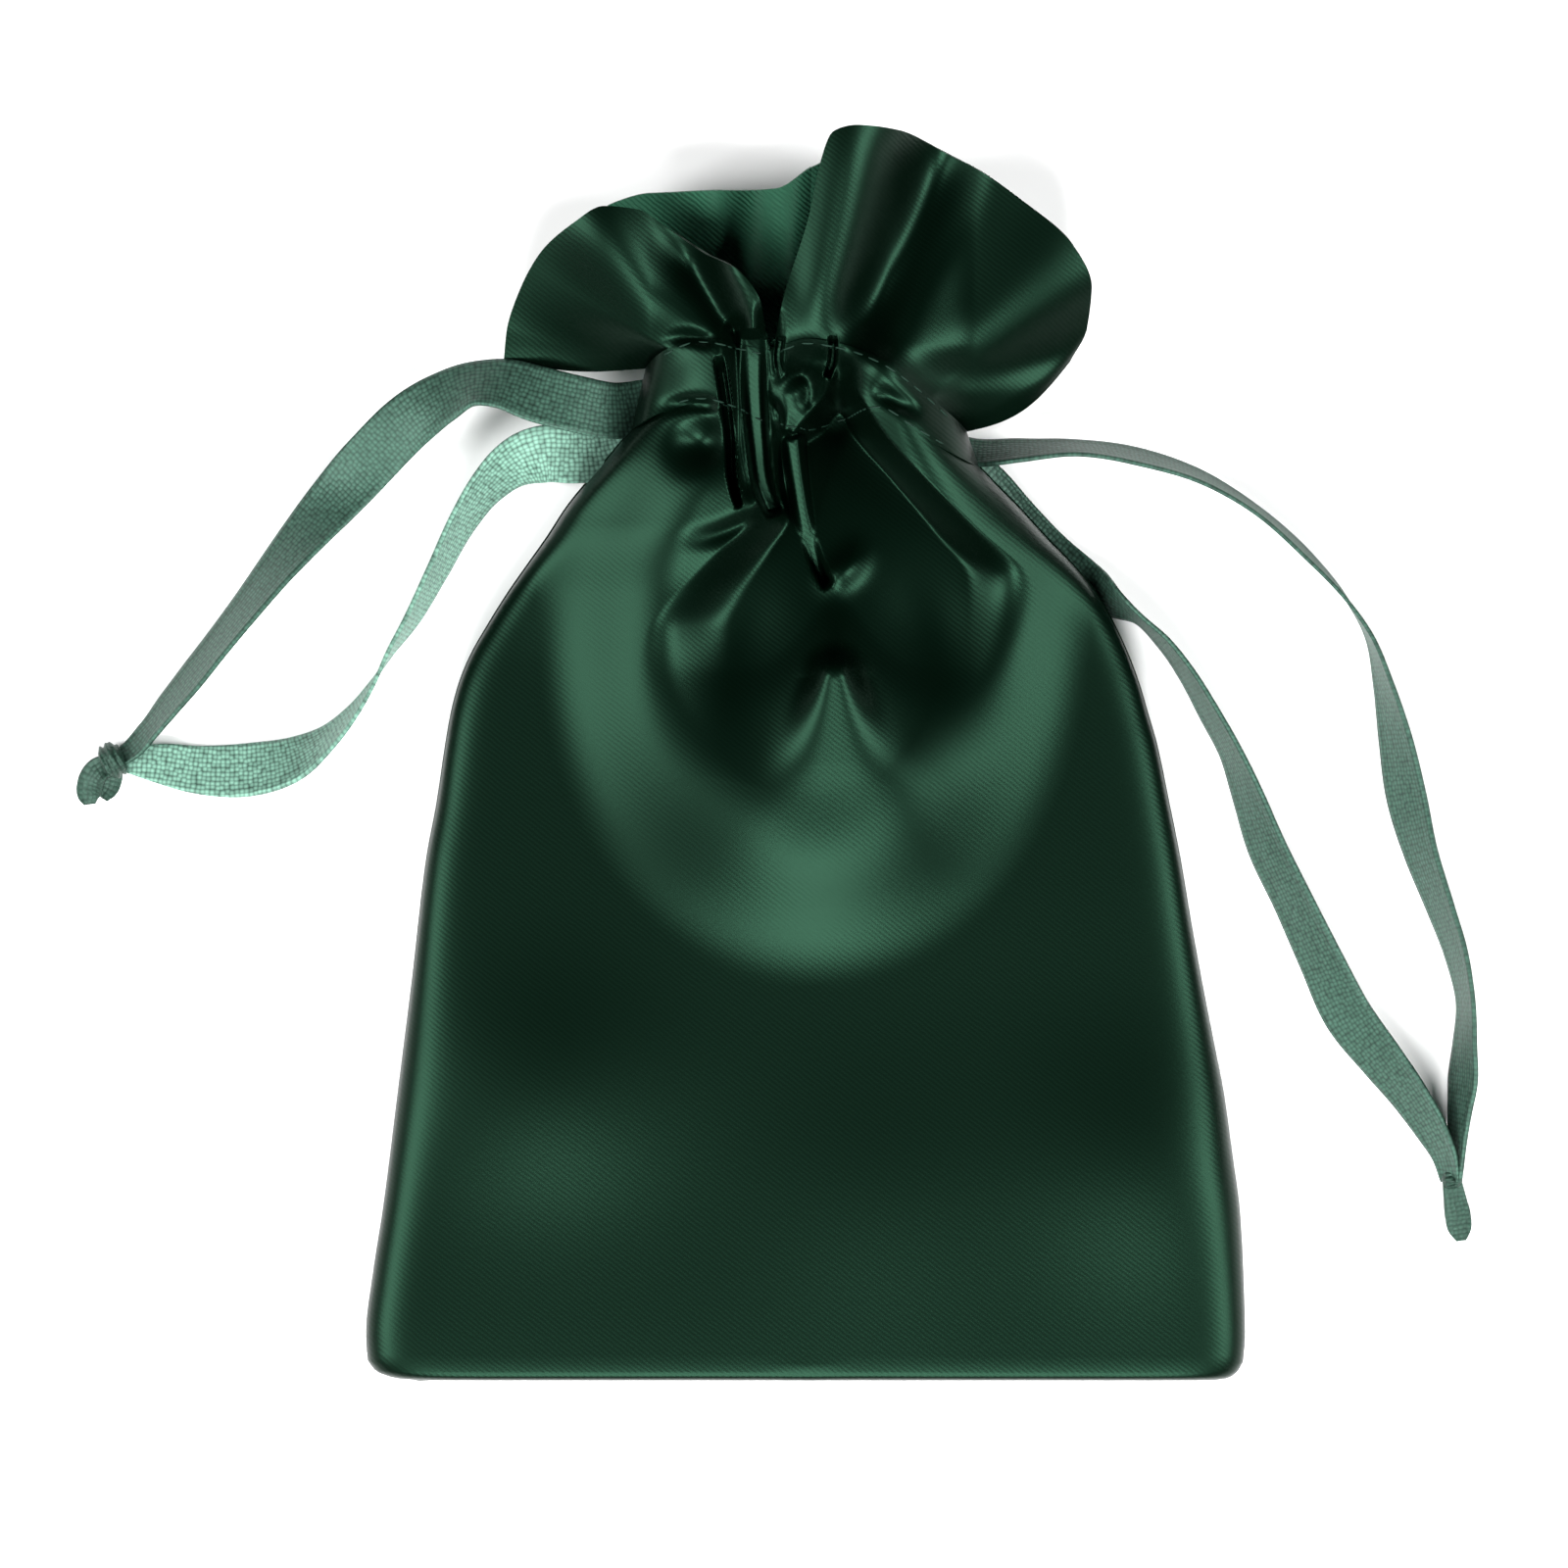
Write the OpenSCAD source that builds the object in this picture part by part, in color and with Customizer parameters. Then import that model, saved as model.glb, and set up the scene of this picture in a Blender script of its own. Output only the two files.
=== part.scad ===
// Drawstring gift sack of satin, lying on its back with its neck drawn in.
// +Z up, +Y from the bottom edge to the mouth, +X to the right. The origin is on the surface that the
// sack lies on, under the middle of the cloth. Two ribbons run through the casing in opposite senses:
// each goes out and back through the front and back casings, and turns round the far side of the neck.
// So the left ribbon draws the right side of the neck, and the right ribbon draws the left side.

/* [Sack] */
// Width across the bottom edge
sack_w = 100; // [96:1:104]
// Length from the bottom edge to the top of the frill
sack_l = 142; // [140:1:144]
// Half width at the shoulders, where the sides start to turn in
shoulder_hw = 40.7; // [39:0.1:42]
// Radius of the bottom corners
corner_r = 3; // [2:0.5:5]
// Thickness of the cloth, hem and lining fold together
cloth = 0.6; // [0.5:0.1:0.7]
// Width of the sewn rim where the front and back meet
rim = 1.2; // [1:0.1:1.5]

/* [Neck] */
// Width of the drawn neck
neck_w = 37.2; // [36:0.2:40]
// Thickness of the drawn neck
neck_h = 13; // [12.6:0.1:14]
// Height of the casing along the sack
casing_l = 8; // [8:0.1:9]
// Thickness of one gathered casing
casing_t = 4; // [4:0.1:4.2]
// Length of the frill past the casing
frill_l = 27.8; // [26:0.1:28]
// How far each side of the neck can still be drawn in
draw = 6; // [3:0.5:6]

/* [Ribbon] */
// Width of the ribbon where it lies open
ribbon_w = 6.5; // [5:0.1:6.5]
// Thickness of the ribbon, with its selvedge
ribbon_t = 0.5; // [0.4:0.1:0.6]
// Width of the ribbon where it runs folded in the casing
folded_w = 2.8; // [2.4:0.1:2.9]

/* [Hidden] */
$fn = 32;

gap = 0.4;                              // clearance between cloth solids that move apart
y_bottom = -sack_l / 2;
y_top = sack_l / 2;
casing_y1 = y_top - frill_l - gap;      // casing, from y0 to y1
casing_y0 = casing_y1 - casing_l;
panel_y1 = casing_y0 - gap;             // top of the two panels
panel_l = panel_y1 - y_bottom;
neck_hw = neck_w / 2;
centre_hw = draw + 2 * gap;             // half width of the pleats that give way as the neck is drawn
side_x0 = centre_hw + gap;              // the side gathers run from here to neck_hw
back_z0 = 0.4;                          // underside of the back casing
front_z0 = neck_h - casing_t;           // underside of the front casing
fold_t = 2 * ribbon_t;                  // the ribbon is folded double in the casing
wall = 0.8;                             // cloth on each side of the ribbons in a casing
tunnel_t = 1.8;                         // height of the ribbons' way through a casing
track_gap = 0.5;
low_track = casing_y0 + wall + folded_w / 2;
high_track = low_track + folded_w + track_gap;
front_ribbon_z = front_z0 + casing_t / 2;
back_ribbon_z = back_z0 + casing_t / 2;
side_swell = 0.9;                       // bow of the side seams
seam_w = 5;                             // seam allowance inside the sack
seam_t = 0.2;                           // half its thickness

// Routes of the free ribbon: [x, y, z of the middle, roll from flat in degrees, width].
left_front_route = [
    [-neck_hw, high_track, front_ribbon_z, 0, folded_w], [-22, 40.4, 11.2, 0, 3.2],
    [-25.5, 40.2, 11.2, 5, 5.2], [-30.4, 40.4, 10.4, 15, 6.5], [-36.8, 41.8, 8.8, 38, 6.5], [-41.2, 40.3, 7.4, 25, 6.5],
    [-44.5, 38.1, 6.2, 10, 6.5], [-49.1, 33.7, 4.4, 0, 6.5], [-53.1, 29.4, 3.2, 15, 6.5],
    [-56.6, 25.4, 3.0, 32, 6.5], [-60.0, 21.4, 3.2, 45, 6.5], [-63.5, 16.7, 3.4, 55, 6.5],
    [-66.8, 12.4, 3.4, 60, 6.5], [-69.7, 8.9, 3.3, 62, 6.3], [-72.4, 5.8, 3.0, 60, 5.5],
    [-74.8, 2.6, 2.8, 55, 4.0], [-76.4, 0.6, 2.6, 40, 2.8]];
left_back_route = [
    [-neck_hw, high_track, back_ribbon_z, 0, folded_w], [-22.4, 40.4, 2.2, 0, 2.8],
    [-26, 39.2, 2.4, 5, 3.8], [-29.4, 37.2, 3.0, -10, 5.2], [-32.6, 34.6, 3.4, -30, 6.5],
    [-35.6, 31.2, 3.4, -50, 6.5], [-38.7, 26.5, 3.6, -65, 6.5],
    [-41.9, 20.6, 3.6, -74, 6.5], [-44.9, 15.0, 3.6, -82, 6.5], [-47.2, 11.7, 3.6, -88, 6.5],
    [-49.0, 8.4, 3.5, -92, 6.5], [-51.4, 4.8, 3.2, -100, 6.3], [-54.6, 1.6, 2.8, -118, 6.3],
    [-57.8, -0.4, 2.2, -138, 6.3], [-63.3, -1.8, 1.4, -160, 6.3], [-69.2, -1.7, 1.5, -170, 5.4],
    [-73.8, -0.9, 2.0, -175, 4.2], [-76.0, -0.2, 2.2, -180, 2.8]];
right_front_route = [
    [neck_hw, low_track, front_ribbon_z, 0, folded_w], [21.6, 36.0, 10.2, -20, 3.2],
    [24.8, 34.9, 9.0, -55, 4.6],
    [30.0, 34.7, 7.4, -73, 6.2], [38.2, 33.6, 5.2, -72, 6.5], [44.5, 31.6, 4.2, -76, 6.5],
    [50.7, 28.0, 3.7, -80, 6.5], [56.9, 22.6, 3.6, -80, 6.5], [62.0, 16.8, 3.6, -86, 6.5],
    [63.9, 13.4, 3.6, -92, 6.5], [65.6, 7.7, 3.5, -104, 6.5], [67.0, 1.4, 3.1, -122, 6.5],
    [68.0, -4.9, 2.7, -130, 6.5], [69.8, -11.2, 2.9, -121, 6.5], [72.0, -17.4, 3.1, -113, 6.5],
    [73.8, -22.7, 3.3, -106, 6.5], [75.0, -28.6, 3.5, -99, 6.5], [74.9, -33.0, 3.4, -104, 6.2],
    [74.5, -37.0, 3.2, -108, 5.6], [73.9, -41.6, 2.9, -110, 4.0], [73.5, -44.6, 2.4, -100, 2.8]];
right_back_route = [
    [neck_hw, low_track, back_ribbon_z, 0, folded_w], [21.2, 35.2, 1.6, 0, 2.8],
    [22.8, 31.6, 0.8, 0, 2.8],
    [25.6, 26.6, 0.8, 0, 2.8], [29.6, 21.8, 0.8, 0, 2.8], [33.6, 18.2, 1.2, 25, 3.4],
    [37.0, 15.8, 2.6, 60, 5.0], [40.7, 12.5, 3.4, 78, 6.3], [43.2, 9.1, 3.5, 80, 6.5],
    [45.8, 4.6, 3.4, 76, 6.5], [48.2, 0.2, 3.3, 72, 6.5], [50.2, -4.8, 3.0, 62, 6.5],
    [52.5, -10.5, 2.6, 50, 6.5], [55.6, -16.9, 2.4, 44, 6.5], [58.6, -23.4, 2.2, 38, 6.5],
    [61.9, -30.0, 1.8, 28, 6.5], [65.1, -34.8, 1.8, 35, 6.5], [68.4, -39.0, 2.0, 45, 5.6],
    [71.2, -42.4, 2.2, 55, 4.0], [72.9, -44.8, 2.2, 60, 2.8]];

// Solid through a row of closed rings. Each ring goes out along one side of the cloth and comes back
// along the other, with as many points each way, so that a strip of quads closes either end.
module loft(rings) {
    n = len(rings[0]);
    last = (len(rings) - 1) * n;
    strip = [for (i = [0:n / 2 - 2]) [i, i + 1, n - 2 - i, n - 1 - i]];
    sides = [for (j = [0:len(rings) - 2], i = [0:n - 1])
        let (a = j * n + i, b = j * n + (i + 1) % n) each [[a, b, b + n], [a, b + n, a + n]]];
    polyhedron(points = [for (r = rings) each r],
        faces = concat([for (q = strip) each [[q[2], q[1], q[0]], [q[3], q[2], q[0]]]], sides,
            [for (q = strip) each [[last + q[0], last + q[1], last + q[2]],
                [last + q[0], last + q[2], last + q[3]]]]),
        convexity = 6);
}

function smooth(t) = t * t * (3 - 2 * t);
function mix(a, b, t) = a + (b - a) * t;

// Shape of the filled-out panels at a distance y along the sack.
function along(y) = (y - y_bottom) / panel_l;
function side_line(y) = y > 0
    ? neck_hw + (shoulder_hw - neck_hw) * sin(90 * (panel_y1 + gap - y) / (panel_y1 + gap))
    : let (t = max(0, (y - y_bottom - corner_r) / (-y_bottom - corner_r)))
        mix(sack_w / 2, shoulder_hw, t) + side_swell * sin(180 * t);
function corner_cut(y) = let (d = corner_r - (y - y_bottom))
    d > 0 ? corner_r - sqrt(max(0, corner_r * corner_r - d * d)) : 0;
function half_width(y) = min(side_line(y), sack_w / 2) - corner_cut(y);
function height(y) = 1.6 + (neck_h - 1.6) * sin(90 * pow(along(y), 0.7));
function rim_z(y) = 0.8 + 5.4 * pow(along(y), 1.5);
function sag(y) = rim_z(y) * (1.6 - 0.55 * along(y));

arc_steps = 20;
arc = [for (i = [0:arc_steps]) 180 * i / arc_steps];
corner_rows = [0, 0.15, 0.5, 1.2, 2.1, 3];
panel_rows = concat([for (r = corner_rows) y_bottom + r * corner_r / 3],
    [for (i = [1:22]) mix(y_bottom + corner_r, panel_y1, i / 22)]);

function front_ring(y) = let (w = half_width(y), z = rim_z(y), h = height(y) - z) concat(
    [for (a = arc) [(w - rim) * cos(a), y, z + (h - cloth) * sin(a)]],
    [for (i = [arc_steps:-1:0]) [w * cos(arc[i]), y, z + h * sin(arc[i])]]);
function back_ring(y) = let (w = half_width(y), z = rim_z(y), s = sag(y)) concat(
    [for (a = arc) [w * cos(a), y, max(0, z - s * sin(a))]],
    [for (i = [arc_steps:-1:0]) [(w - rim) * cos(arc[i]), y, max(cloth, z - (s - cloth) * sin(arc[i]))]]);

module front_panel() {
    color("darkgreen") loft([for (y = panel_rows) front_ring(y)]);
}

module back_panel() {
    color("darkgreen") loft([for (y = panel_rows) back_ring(y)]);
}

// Raw edges sewn together inside a side seam: a wedge at the rim that opens to a flat strip.
module side_seam_allowance(side) {
    rows = [for (i = [0:16]) mix(y_bottom + 10, panel_y1 - 4, i / 16)];
    color("seagreen") mirror([side < 0 ? 1 : 0, 0, 0])
        loft([for (y = rows) let (x = half_width(y) - rim + 0.1, z = rim_z(y)) [
            [x, y, z - 0.02], [x - 2, y, z - seam_t], [x - seam_w, y, z - seam_t],
            [x - seam_w, y, z + seam_t], [x - 2, y, z + seam_t], [x, y, z + 0.02]]]);
}

// The same inside the bottom seam, turned up on the back panel.
module bottom_seam_allowance() {
    w = sack_w / 2 - seam_w - rim - 4;
    color("seagreen") translate([-w, y_bottom + 9, cloth])
        cube([2 * w, seam_w - 1, 2 * seam_t]);
}

// Gathered cloth between x0 and x1: pleats along the sack, with the ribbons' way through them.
module pleats(x0, x1, y0, z0) {
    length = casing_y1 - y0;
    count = max(2, round((x1 - x0) / 3));
    pitch = (x1 - x0) / count;
    ridge = 0.5;
    profile = concat(
        [[x0, z0 + ridge], [x1, z0 + ridge]],
        [for (i = [count * 6:-1:0]) [x0 + i * pitch / 6, z0 + casing_t - ridge * (0.5 + 0.5 * cos(60 * i))]]);
    under = [for (i = [1:count * 6 - 1]) [x0 + i * pitch / 6, z0 + ridge * (0.5 + 0.5 * cos(60 * i))]];
    difference() {
        translate([0, casing_y1, 0]) rotate([90, 0, 0]) linear_extrude(length)
            polygon(concat([profile[0]], under, [for (i = [1:len(profile) - 1]) profile[i]]));
        translate([x0 - 1, casing_y0 + wall / 2, z0 + (casing_t - tunnel_t) / 2])
            cube([x1 - x0 + 2, casing_l - wall, tunnel_t]);
    }
}

module side_casing(side, z0) {
    color("darkgreen") mirror([side < 0 ? 1 : 0, 0, 0]) pleats(side_x0, neck_hw, casing_y0, z0);
}

module centre_pleats(z0) {
    color("darkgreen") pleats(-centre_hw, centre_hw, panel_y1, z0);
}

// Frill: a sheet that fans out from the casing. u runs from 0 at the middle to 1 at the side.
frill_hw = 34;
frill_rows = 9;
frill_y0 = casing_y1;
frill_low = y_top - 7.4;                // top of the left lobe
frill_corner = y_top - 24;              // where the edge comes round to the side of the neck
function frill_top(u, side) = side < 0
    ? mix(frill_low, frill_corner - 1.5, pow(u, 6)) : mix(y_top, frill_corner, pow(u, 4));
function frill_x(u, v, x0) = mix(
    mix(x0, neck_hw - 0.4, u), mix(x0, frill_hw, u), sin(90 * min(1, 1.4 * v)));
function frill_y(u, v, side) = mix(frill_y0, frill_top(u, side), v);
function frill_mid(v) = 6.7;
function front_frill_z(u, v) = frill_mid(v) + 0.5
    + (neck_h - 9.2 + 5 * v) * sqrt(max(0, 1 - pow(u, 4))) + 1.2 * v * cos(540 * u);
function back_frill_z(u, v) = max(0.4, frill_mid(v) - 0.5
    - (frill_mid(v) - 2.6 + 1.4 * v) * sqrt(max(0, 1 - pow(u, 4))) - cloth);

// Sheet over u and v whose underside is at z(u, v).
module frill_sheet(u0, u1, x0, side, front) {
    steps = 14;
    loft([for (j = [0:frill_rows]) let (v = j / frill_rows)
        let (row = [for (i = [0:steps]) let (u = mix(u0, u1, i / steps))
            [frill_x(abs(u), v, x0) * (u < 0 ? -1 : 1), frill_y(abs(u), v, u < 0 ? -1 : side),
             front ? front_frill_z(abs(u), v) : back_frill_z(abs(u), v)]])
        concat([for (i = [steps:-1:0]) row[i]], [for (p = row) p + [0, 0, cloth]])]);
}

module side_frill(side, front) {
    color("darkgreen") mirror([side < 0 ? 1 : 0, 0, 0]) frill_sheet(0, 1, side_x0, side, front);
}

module centre_frill(front) {
    base = front ? front_frill_z(0, 0) : back_frill_z(0, 0);
    color("darkgreen")
        loft([for (j = [0:frill_rows]) let (v = j / frill_rows,
            z = (front ? front_frill_z(0, v) : back_frill_z(0, v)),
            y0 = mix(frill_y0, frill_top(0, -1), v), y1 = mix(frill_y0, frill_top(0, 1), v))
            concat([for (i = [6:-1:0]) [mix(-centre_hw, centre_hw, i / 6), mix(y0, y1, smooth(i / 6)), z]],
                [for (i = [0:6]) [mix(-centre_hw, centre_hw, i / 6), mix(y0, y1, smooth(i / 6)), z + cloth]])]);
}

// Two rows of stitches that close a casing, on the outside of the front and back gathers.
module casing_stitches(side) {
    stitch = [1.5, 0.3, 0.25];
    pitch = 2.6;
    color("green") for (y = [casing_y0 + 0.5, casing_y1 - 0.5], i = [0:3], z = [neck_h, back_z0 - stitch[2]])
        translate([side * (side_x0 + 1.2 + i * pitch) - stitch[0] / 2, y - stitch[1] / 2, z]) cube(stitch);
}

// Ribbon section: a flat ribbon with rounded selvedges, as eight points about its middle.
function section(w, t) = [
    [w / 2, t / 4], [w / 2 - t / 2, t / 2], [-w / 2 + t / 2, t / 2], [-w / 2, t / 4],
    [-w / 2, -t / 4], [-w / 2 + t / 2, -t / 2], [w / 2 - t / 2, -t / 2], [w / 2, -t / 4]];
function unit(v) = v / norm(v);
function thickness(w) = mix(fold_t, ribbon_t, min(1, max(0, (w - folded_w) / (ribbon_w - folded_w))));

// One ring of a free ribbon, square to the route and rolled about it.
function route_ring(route, i) = let (
    p = route[i],
    a = route[max(i - 1, 0)],
    b = route[min(i + 1, len(route) - 1)],
    ahead = i == 0 ? [sign(p[0]), 0, 0] : unit([b[0] - a[0], b[1] - a[1], b[2] - a[2]]),
    flat_side = unit(cross([0, 0, 1], ahead)),
    up = cross(ahead, flat_side),
    across = flat_side * cos(p[3]) + up * sin(p[3]),
    face = cross(ahead, across),
    low = p[4] / 2 * abs(across[2]) + thickness(p[4]) / 2,
    mid = [p[0], p[1], max(p[2], low + 0.05)])
    [for (s = section(p[4], thickness(p[4]))) mid + across * s[0] + face * s[1]];

module free_ribbon(route) {
    color("mediumseagreen") loft([for (i = [0:len(route) - 1]) route_ring(route, i)]);
}

// The stretch in the casings: along the front, round the far side of the neck, and along the back.
module ribbon_loop(side, y) {
    bend_x = neck_hw + 0.6;
    bend_r = (front_ribbon_z - back_ribbon_z) / 2;
    color("mediumseagreen") translate([0, y - folded_w / 2, 0]) mirror([side > 0 ? 1 : 0, 0, 0])
        translate([0, folded_w, 0]) rotate([90, 0, 0]) linear_extrude(folded_w) {
            for (z = [front_ribbon_z, back_ribbon_z])
                translate([-neck_hw, z - fold_t / 2]) square([neck_hw + bend_x, fold_t]);
            translate([bend_x, (front_ribbon_z + back_ribbon_z) / 2]) intersection() {
                difference() {
                    circle(bend_r + fold_t / 2);
                    circle(bend_r - fold_t / 2);
                }
                translate([0, -bend_r - fold_t]) square([bend_r + fold_t, 2 * bend_r + 2 * fold_t]);
            }
        }
}

// Overhand knot of the left ribbon: a round turn with two short tails.
module left_knot() {
    color("mediumseagreen") translate([-78.9, -1.0, 2.6]) rotate([0, 0, 42]) {
        hull() {
            translate([0.9, 0, 0]) sphere(2.2, $fn = 20);
            translate([-0.9, 0, 0]) sphere(2.0, $fn = 20);
        }
        hull() {
            translate([-2.2, 0, -0.4]) sphere(1.5, $fn = 20);
            translate([-4.4, -0.4, -0.8]) sphere(1.5, $fn = 20);
        }
    }
}

// Knot of the right ribbon: drawn small, with both tails laid together.
module right_knot() {
    color("mediumseagreen") {
        hull() {
            translate([73.3, -46.2, 2.2]) sphere(1.7, $fn = 20);
            translate([73.4, -48.6, 1.9]) sphere(1.3, $fn = 20);
        }
        hull() {
            translate([73.7, -50.2, 1.5]) sphere(1.1, $fn = 20);
            translate([74.5, -53.6, 1.5]) sphere(1.4, $fn = 20);
        }
    }
}

front_panel();
back_panel();
side_seam_allowance(-1);  // left_seam_allowance
side_seam_allowance(1);  // right_seam_allowance
bottom_seam_allowance();
centre_pleats(front_z0);  // front_centre_pleats
centre_pleats(back_z0);  // back_centre_pleats
centre_frill(true);  // front_centre_frill
centre_frill(false);  // back_centre_frill
side_casing(-1, front_z0);  // left_casing_front
side_casing(-1, back_z0);  // left_casing_back
side_frill(-1, true);  // left_frill_front
side_frill(-1, false);  // left_frill_back
casing_stitches(-1);  // left_casing_stitches
side_casing(1, front_z0);  // right_casing_front
side_casing(1, back_z0);  // right_casing_back
side_frill(1, true);  // right_frill_front
side_frill(1, false);  // right_frill_back
casing_stitches(1);  // right_casing_stitches
free_ribbon(left_front_route);  // left_ribbon_front
free_ribbon(left_back_route);  // left_ribbon_back
ribbon_loop(-1, high_track);  // left_ribbon_loop
left_knot();
free_ribbon(right_front_route);  // right_ribbon_front
free_ribbon(right_back_route);  // right_ribbon_back
ribbon_loop(1, low_track);  // right_ribbon_loop
right_knot();
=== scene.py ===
"""Satin drawstring gift sack, lying on its back with its neck drawn in and its ribbons loose.

Shapes are in millimetres here and mesh_object turns them into metres. The frame is the CAD's: +X to the
right, +Y from the bottom edge to the mouth and +Z up from the surface that the sack lies on.
"""

import logging
import math
from dataclasses import dataclass
from enum import Enum
from typing import Sequence

import bpy
import numpy as np
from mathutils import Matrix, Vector


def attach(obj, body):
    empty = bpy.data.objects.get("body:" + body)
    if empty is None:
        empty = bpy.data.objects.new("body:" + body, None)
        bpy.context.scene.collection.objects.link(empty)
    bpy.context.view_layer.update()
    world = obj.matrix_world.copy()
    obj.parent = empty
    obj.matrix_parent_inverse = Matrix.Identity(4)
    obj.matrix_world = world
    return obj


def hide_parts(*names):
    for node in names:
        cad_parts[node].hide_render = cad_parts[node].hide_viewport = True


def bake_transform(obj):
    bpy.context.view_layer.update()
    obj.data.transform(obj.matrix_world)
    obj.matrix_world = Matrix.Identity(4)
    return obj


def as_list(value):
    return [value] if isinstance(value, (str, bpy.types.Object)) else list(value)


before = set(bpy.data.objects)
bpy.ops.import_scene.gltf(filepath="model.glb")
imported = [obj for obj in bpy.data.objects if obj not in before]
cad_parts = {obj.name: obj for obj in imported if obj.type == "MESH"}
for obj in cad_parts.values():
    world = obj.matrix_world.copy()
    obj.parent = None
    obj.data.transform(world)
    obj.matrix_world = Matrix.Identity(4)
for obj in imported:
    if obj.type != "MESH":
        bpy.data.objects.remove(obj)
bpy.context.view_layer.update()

log = logging.getLogger("gift_sack")

MM = 0.001
Point = tuple[float, float]
Array = np.ndarray

# Y of the bottom edge of the cloth.
BOTTOM_Y = -71.3
# X of the deepest pleat, where the left and right halves of the cloth meet.
SPLIT_X = -3.9
# Y of the neck and its half width, in metres.
NECK_Y = 0.036
NECK_HALF = 0.0186


class Side(Enum):
    """A side of the sack, with the direction that it lies in along X."""

    LEFT = -1
    RIGHT = 1

    @property
    def word(self) -> str:
        """Lower-case name of the side, as the CAD nodes have it."""
        return self.name.lower()

    @property
    def body(self) -> str:
        """Body that carries this side's gathers: the ribbon from the other side turns round them."""
        return "right_drawstring" if self is Side.LEFT else "left_drawstring"


def ease(t: Array) -> Array:
    """Smooth step from 0 to 1.

    Args:
        t: values, clipped to 0..1.

    Returns:
        The eased values.
    """
    t = np.clip(t, 0.0, 1.0)
    return t * t * (3.0 - 2.0 * t)


def ramp(value: Array, start: float, end: float) -> Array:
    """Smooth step from 0 at one place to 1 at another.

    Args:
        value: places.
        start: where it starts to rise.
        end: where it reaches 1.

    Returns:
        The eased values.
    """
    return ease((value - start) / (end - start))


def mix(low: Array | float, high: Array | float, share: Array) -> Array:
    """Blend of two values.

    Args:
        low: value at share 0.
        high: value at share 1.
        share: how much of the second one.

    Returns:
        The blend.
    """
    return low + (high - low) * share


def soft_excess(value: Array, sharp: float) -> Array:
    """Positive part of a value, with a soft corner at zero.

    Args:
        value: the value.
        sharp: how sharp the corner is.

    Returns:
        The positive part.
    """
    return np.logaddexp(0, value * sharp) / sharp


def unit_grid(rows: int, cols: int) -> tuple[Array, Array]:
    """Even grid from 0 to 1 both ways.

    Args:
        rows: number of rows.
        cols: number of columns.

    Returns:
        The share along the rows and the share along the columns, at each point.
    """
    v, u = np.meshgrid(np.linspace(0, 1, rows), np.linspace(0, 1, cols), indexing="ij")
    return v, u


def walked(line: Array) -> Array:
    """Distance along a line.

    Args:
        line: its points.

    Returns:
        The distance from its start to each point.
    """
    return np.concatenate([[0], np.cumsum(np.linalg.norm(np.diff(line, axis=0), axis=1))])


def sampled(line: Array, along: Array, places: Array) -> Array:
    """Rows of a line at distances along it.

    Args:
        line: its rows.
        along: distance of each row.
        places: distances to sample at.

    Returns:
        One row for each place.
    """
    return np.stack([np.interp(places, along, column) for column in line.T], axis=1)


def cubic(t: Array, step: Array, low: tuple[Array, Array], high: tuple[Array, Array]) -> Array:
    """Cubic curve between two knots.

    Args:
        t: share of the way from the low knot to the high one.
        step: distance between them.
        low: value and slope at the low knot.
        high: value and slope at the high knot.

    Returns:
        The values on the curve.
    """
    return (
        (2 * t**3 - 3 * t**2 + 1) * low[0]
        + (t**3 - 2 * t**2 + t) * step * low[1]
        + (3 * t**2 - 2 * t**3) * high[0]
        + (t**3 - t**2) * step * high[1]
    )


def spline(knots: Sequence[Sequence[float]], at: Array) -> Array:
    """Smooth curve through knots that never overshoots them.

    Args:
        knots: (place, value, ...) rows in rising order of place.
        at: places to evaluate.

    Returns:
        One value per place, or one row of values when knots have several.
    """
    table = np.array(knots, dtype=float)
    place, value = table[:, 0], table[:, 1:]
    step = np.diff(place)[:, None]
    rise = np.diff(value, axis=0) / step
    slope = np.zeros_like(value)
    same = rise[:-1] * rise[1:] > 0
    with np.errstate(divide="ignore", invalid="ignore"):
        slope[1:-1] = np.where(same, 2 * rise[:-1] * rise[1:] / (rise[:-1] + rise[1:]), 0.0)
    slope[0], slope[-1] = rise[0], rise[-1]
    flat = np.clip(np.ravel(at), place[0], place[-1])
    i = np.clip(np.searchsorted(place, flat) - 1, 0, len(place) - 2)
    h = step[i]
    t = ((flat - place[i]) / h[:, 0])[:, None]
    out = cubic(t, h, (value[i], slope[i]), (value[i + 1], slope[i + 1]))
    shape = np.shape(at) + ((value.shape[1],) if value.shape[1] > 1 else ())
    return out.reshape(shape)


def route(points: Sequence[Sequence[float]], count: int) -> Array:
    """Even samples of a smooth curve through points.

    Args:
        points: rows of coordinates, of which the first three (or two) are a place.
        count: number of samples.

    Returns:
        count rows, evenly spaced along the curve.
    """
    rows = np.array(points, dtype=float)
    chord = walked(rows[:, :3])
    tangent = np.gradient(rows, chord, axis=0)
    fine = np.linspace(0, chord[-1], count * 8)
    i = np.clip(np.searchsorted(chord, fine) - 1, 0, len(chord) - 2)
    h = (chord[i + 1] - chord[i])[:, None]
    t = ((fine - chord[i]) / h[:, 0])[:, None]
    curve = cubic(t, h, (rows[i], tangent[i]), (rows[i + 1], tangent[i + 1]))
    along = walked(curve[:, :3])
    return sampled(curve, along, np.linspace(0, along[-1], count))


class Profile(Enum):
    """Cross-section of a fold: a round bell, or a flat top whose sides fall away with this power."""

    ROUND = 0
    RAMP = 3
    PLEAT = 6


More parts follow.
